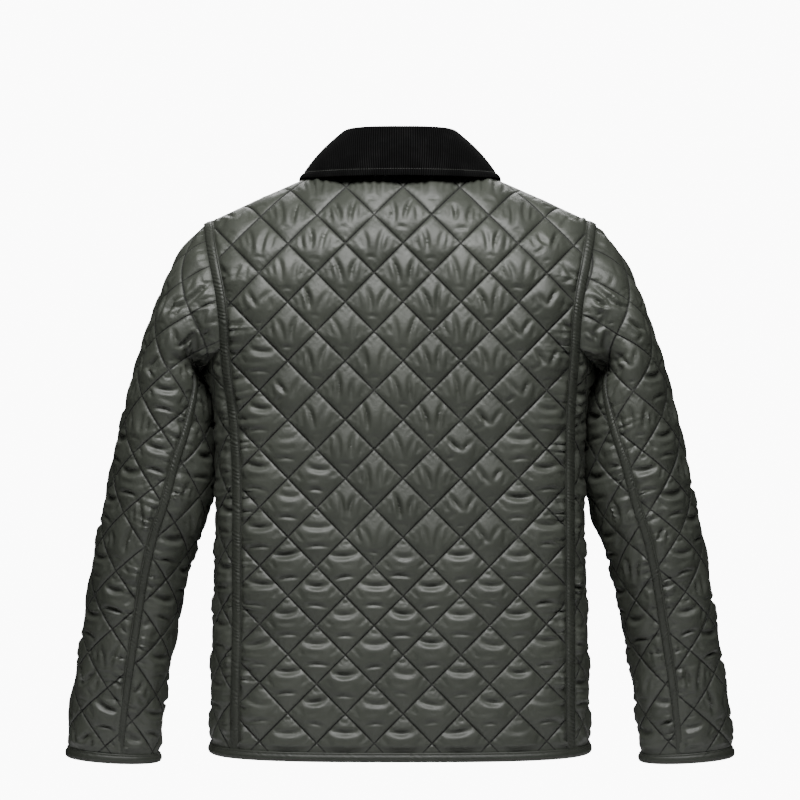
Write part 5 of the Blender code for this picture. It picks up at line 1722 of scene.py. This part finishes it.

# %% [markdown]
# ## Finishing and attaching the pieces
# Every piece rides on the one body, stands for its solid and takes its solid's material slot.

# %% Finishing and attaching the pieces
SLOTS = {"back": "quilted_cloth", "front": "quilted_cloth", "sleeve": "quilted_cloth",
         "side": "binding_cloth", "elbow": "binding_cloth", "hem": "binding_cloth",
         "cuff": "binding_cloth", "collar": "corduroy", "snap": "aged_brass"}
for name, piece in pieces.items():
    slot = "binding_cloth" if name.startswith("front_binding") else SLOTS[name.split("_")[0]]
    piece.data.materials.append(finishes[slot])
    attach(piece, "root")
    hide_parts(name)

for name, piece in stitch_rows.items():
    piece.data.materials.append(finishes["thread"])
    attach(piece, "root")

# width and length of the rectangle that each cut piece comes from
RECTANGLES = {"back": (0.475, 0.705), "front_left": (0.350, 0.720), "front_right": (0.350, 0.720),
              "sleeve_upper": (0.290, 0.690), "sleeve_under": (0.200, 0.560)}
for name, piece in pieces.items():
    key = next((k for k in RECTANGLES if name.startswith(k) and "binding" not in name), None)

# %% [markdown]
# ## Floor and light
# A wide pale floor and four soft lights. The main one hangs high behind the jacket's back, so each
# pillow is bright on its upper half and dark below its stitch line. Two faint ones fill the sides
# without a highlight of their own, and one in front serves the front view.

# %% Floor and light
bpy.ops.object.select_all(action="DESELECT")
bpy.ops.mesh.primitive_circle_add(vertices=128, radius=0.94, fill_type="NGON", location=(0, 0, -0.90))
floor = bpy.context.object
floor.name = "studio_floor"
material, tree, shader = finish_of("pale_floor")
floor_colour = blend_of(tree, noise(tree, 0.8, 2), (0.80, 0.80, 0.80, 1), (0.84, 0.84, 0.84, 1))
wired(tree, shader, {"Base Color": floor_colour, "Roughness": 0.9})
floor.data.materials.append(material)

LIT_POINT = Vector((0, 0, -0.3))   # the middle of the jacket, which every light faces
# name, place, width and height, power in watts, whether it leaves a highlight
SOFT_LIGHTS = (
    ("high_back_light", (0.0, 1.12, 1.00), (1.9, 0.6), 98, True),
    ("left_back_light", (1.6, 2.3, 0.1), (0.7, 1.4), 3, False),
    ("right_back_light", (-1.6, 2.3, 0.1), (0.7, 1.4), 3, False),
    ("front_light", (0.0, -2.0, 1.4), (1.8, 1.2), 45, True),
)
for name, place, size, power, shines in SOFT_LIGHTS:
    lamp = bpy.data.lights.new(name, "AREA")
    lamp.shape = "RECTANGLE"
    lamp.size, lamp.size_y = size
    lamp.energy = power
    light = bpy.data.objects.new(name, lamp)
    light.location = place
    light.rotation_euler = (LIT_POINT - Vector(place)).to_track_quat("-Z", "Y").to_euler()
    light.visible_glossy = shines
    bpy.context.scene.collection.objects.link(light)
print("lights:", len(SOFT_LIGHTS))

# %% [markdown]
# ## Backdrop and camera
# The camera sees a bright plain backdrop, while the cloth gets only a little of its light. The camera
# stands level with the middle of the back, far away behind a long lens, so nothing is foreshortened.

# %% Backdrop and camera
AMBIENT, BACKDROP = 0.022, 10.5
world = bpy.data.worlds.new("studio")
bpy.context.scene.world = world
world.use_nodes = True
tree = world.node_tree
seen = node(tree, "LightPath").outputs["Is Camera Ray"]
wired(tree, tree.nodes["Background"], {"Color": (1.0, 1.0, 1.0, 1),
                                       "Strength": eased(tree, seen, 0.0, 1.0, AMBIENT, BACKDROP)})

VIEW_LEVEL, VIEW_DISTANCE = -0.264, 3.0
LENS, SENSOR = 112.5, 36     # both in millimetres
camera_data = bpy.data.cameras.new("camera")
camera_data.lens, camera_data.sensor_width = LENS, SENSOR
camera = bpy.data.objects.new("camera", camera_data)
camera.location = (0, VIEW_DISTANCE, VIEW_LEVEL)
camera.rotation_euler = (math.radians(90), 0, math.radians(180))
bpy.context.scene.collection.objects.link(camera)
bpy.context.scene.camera = camera
print("width of the view at the jacket:", VIEW_DISTANCE * SENSOR / LENS)
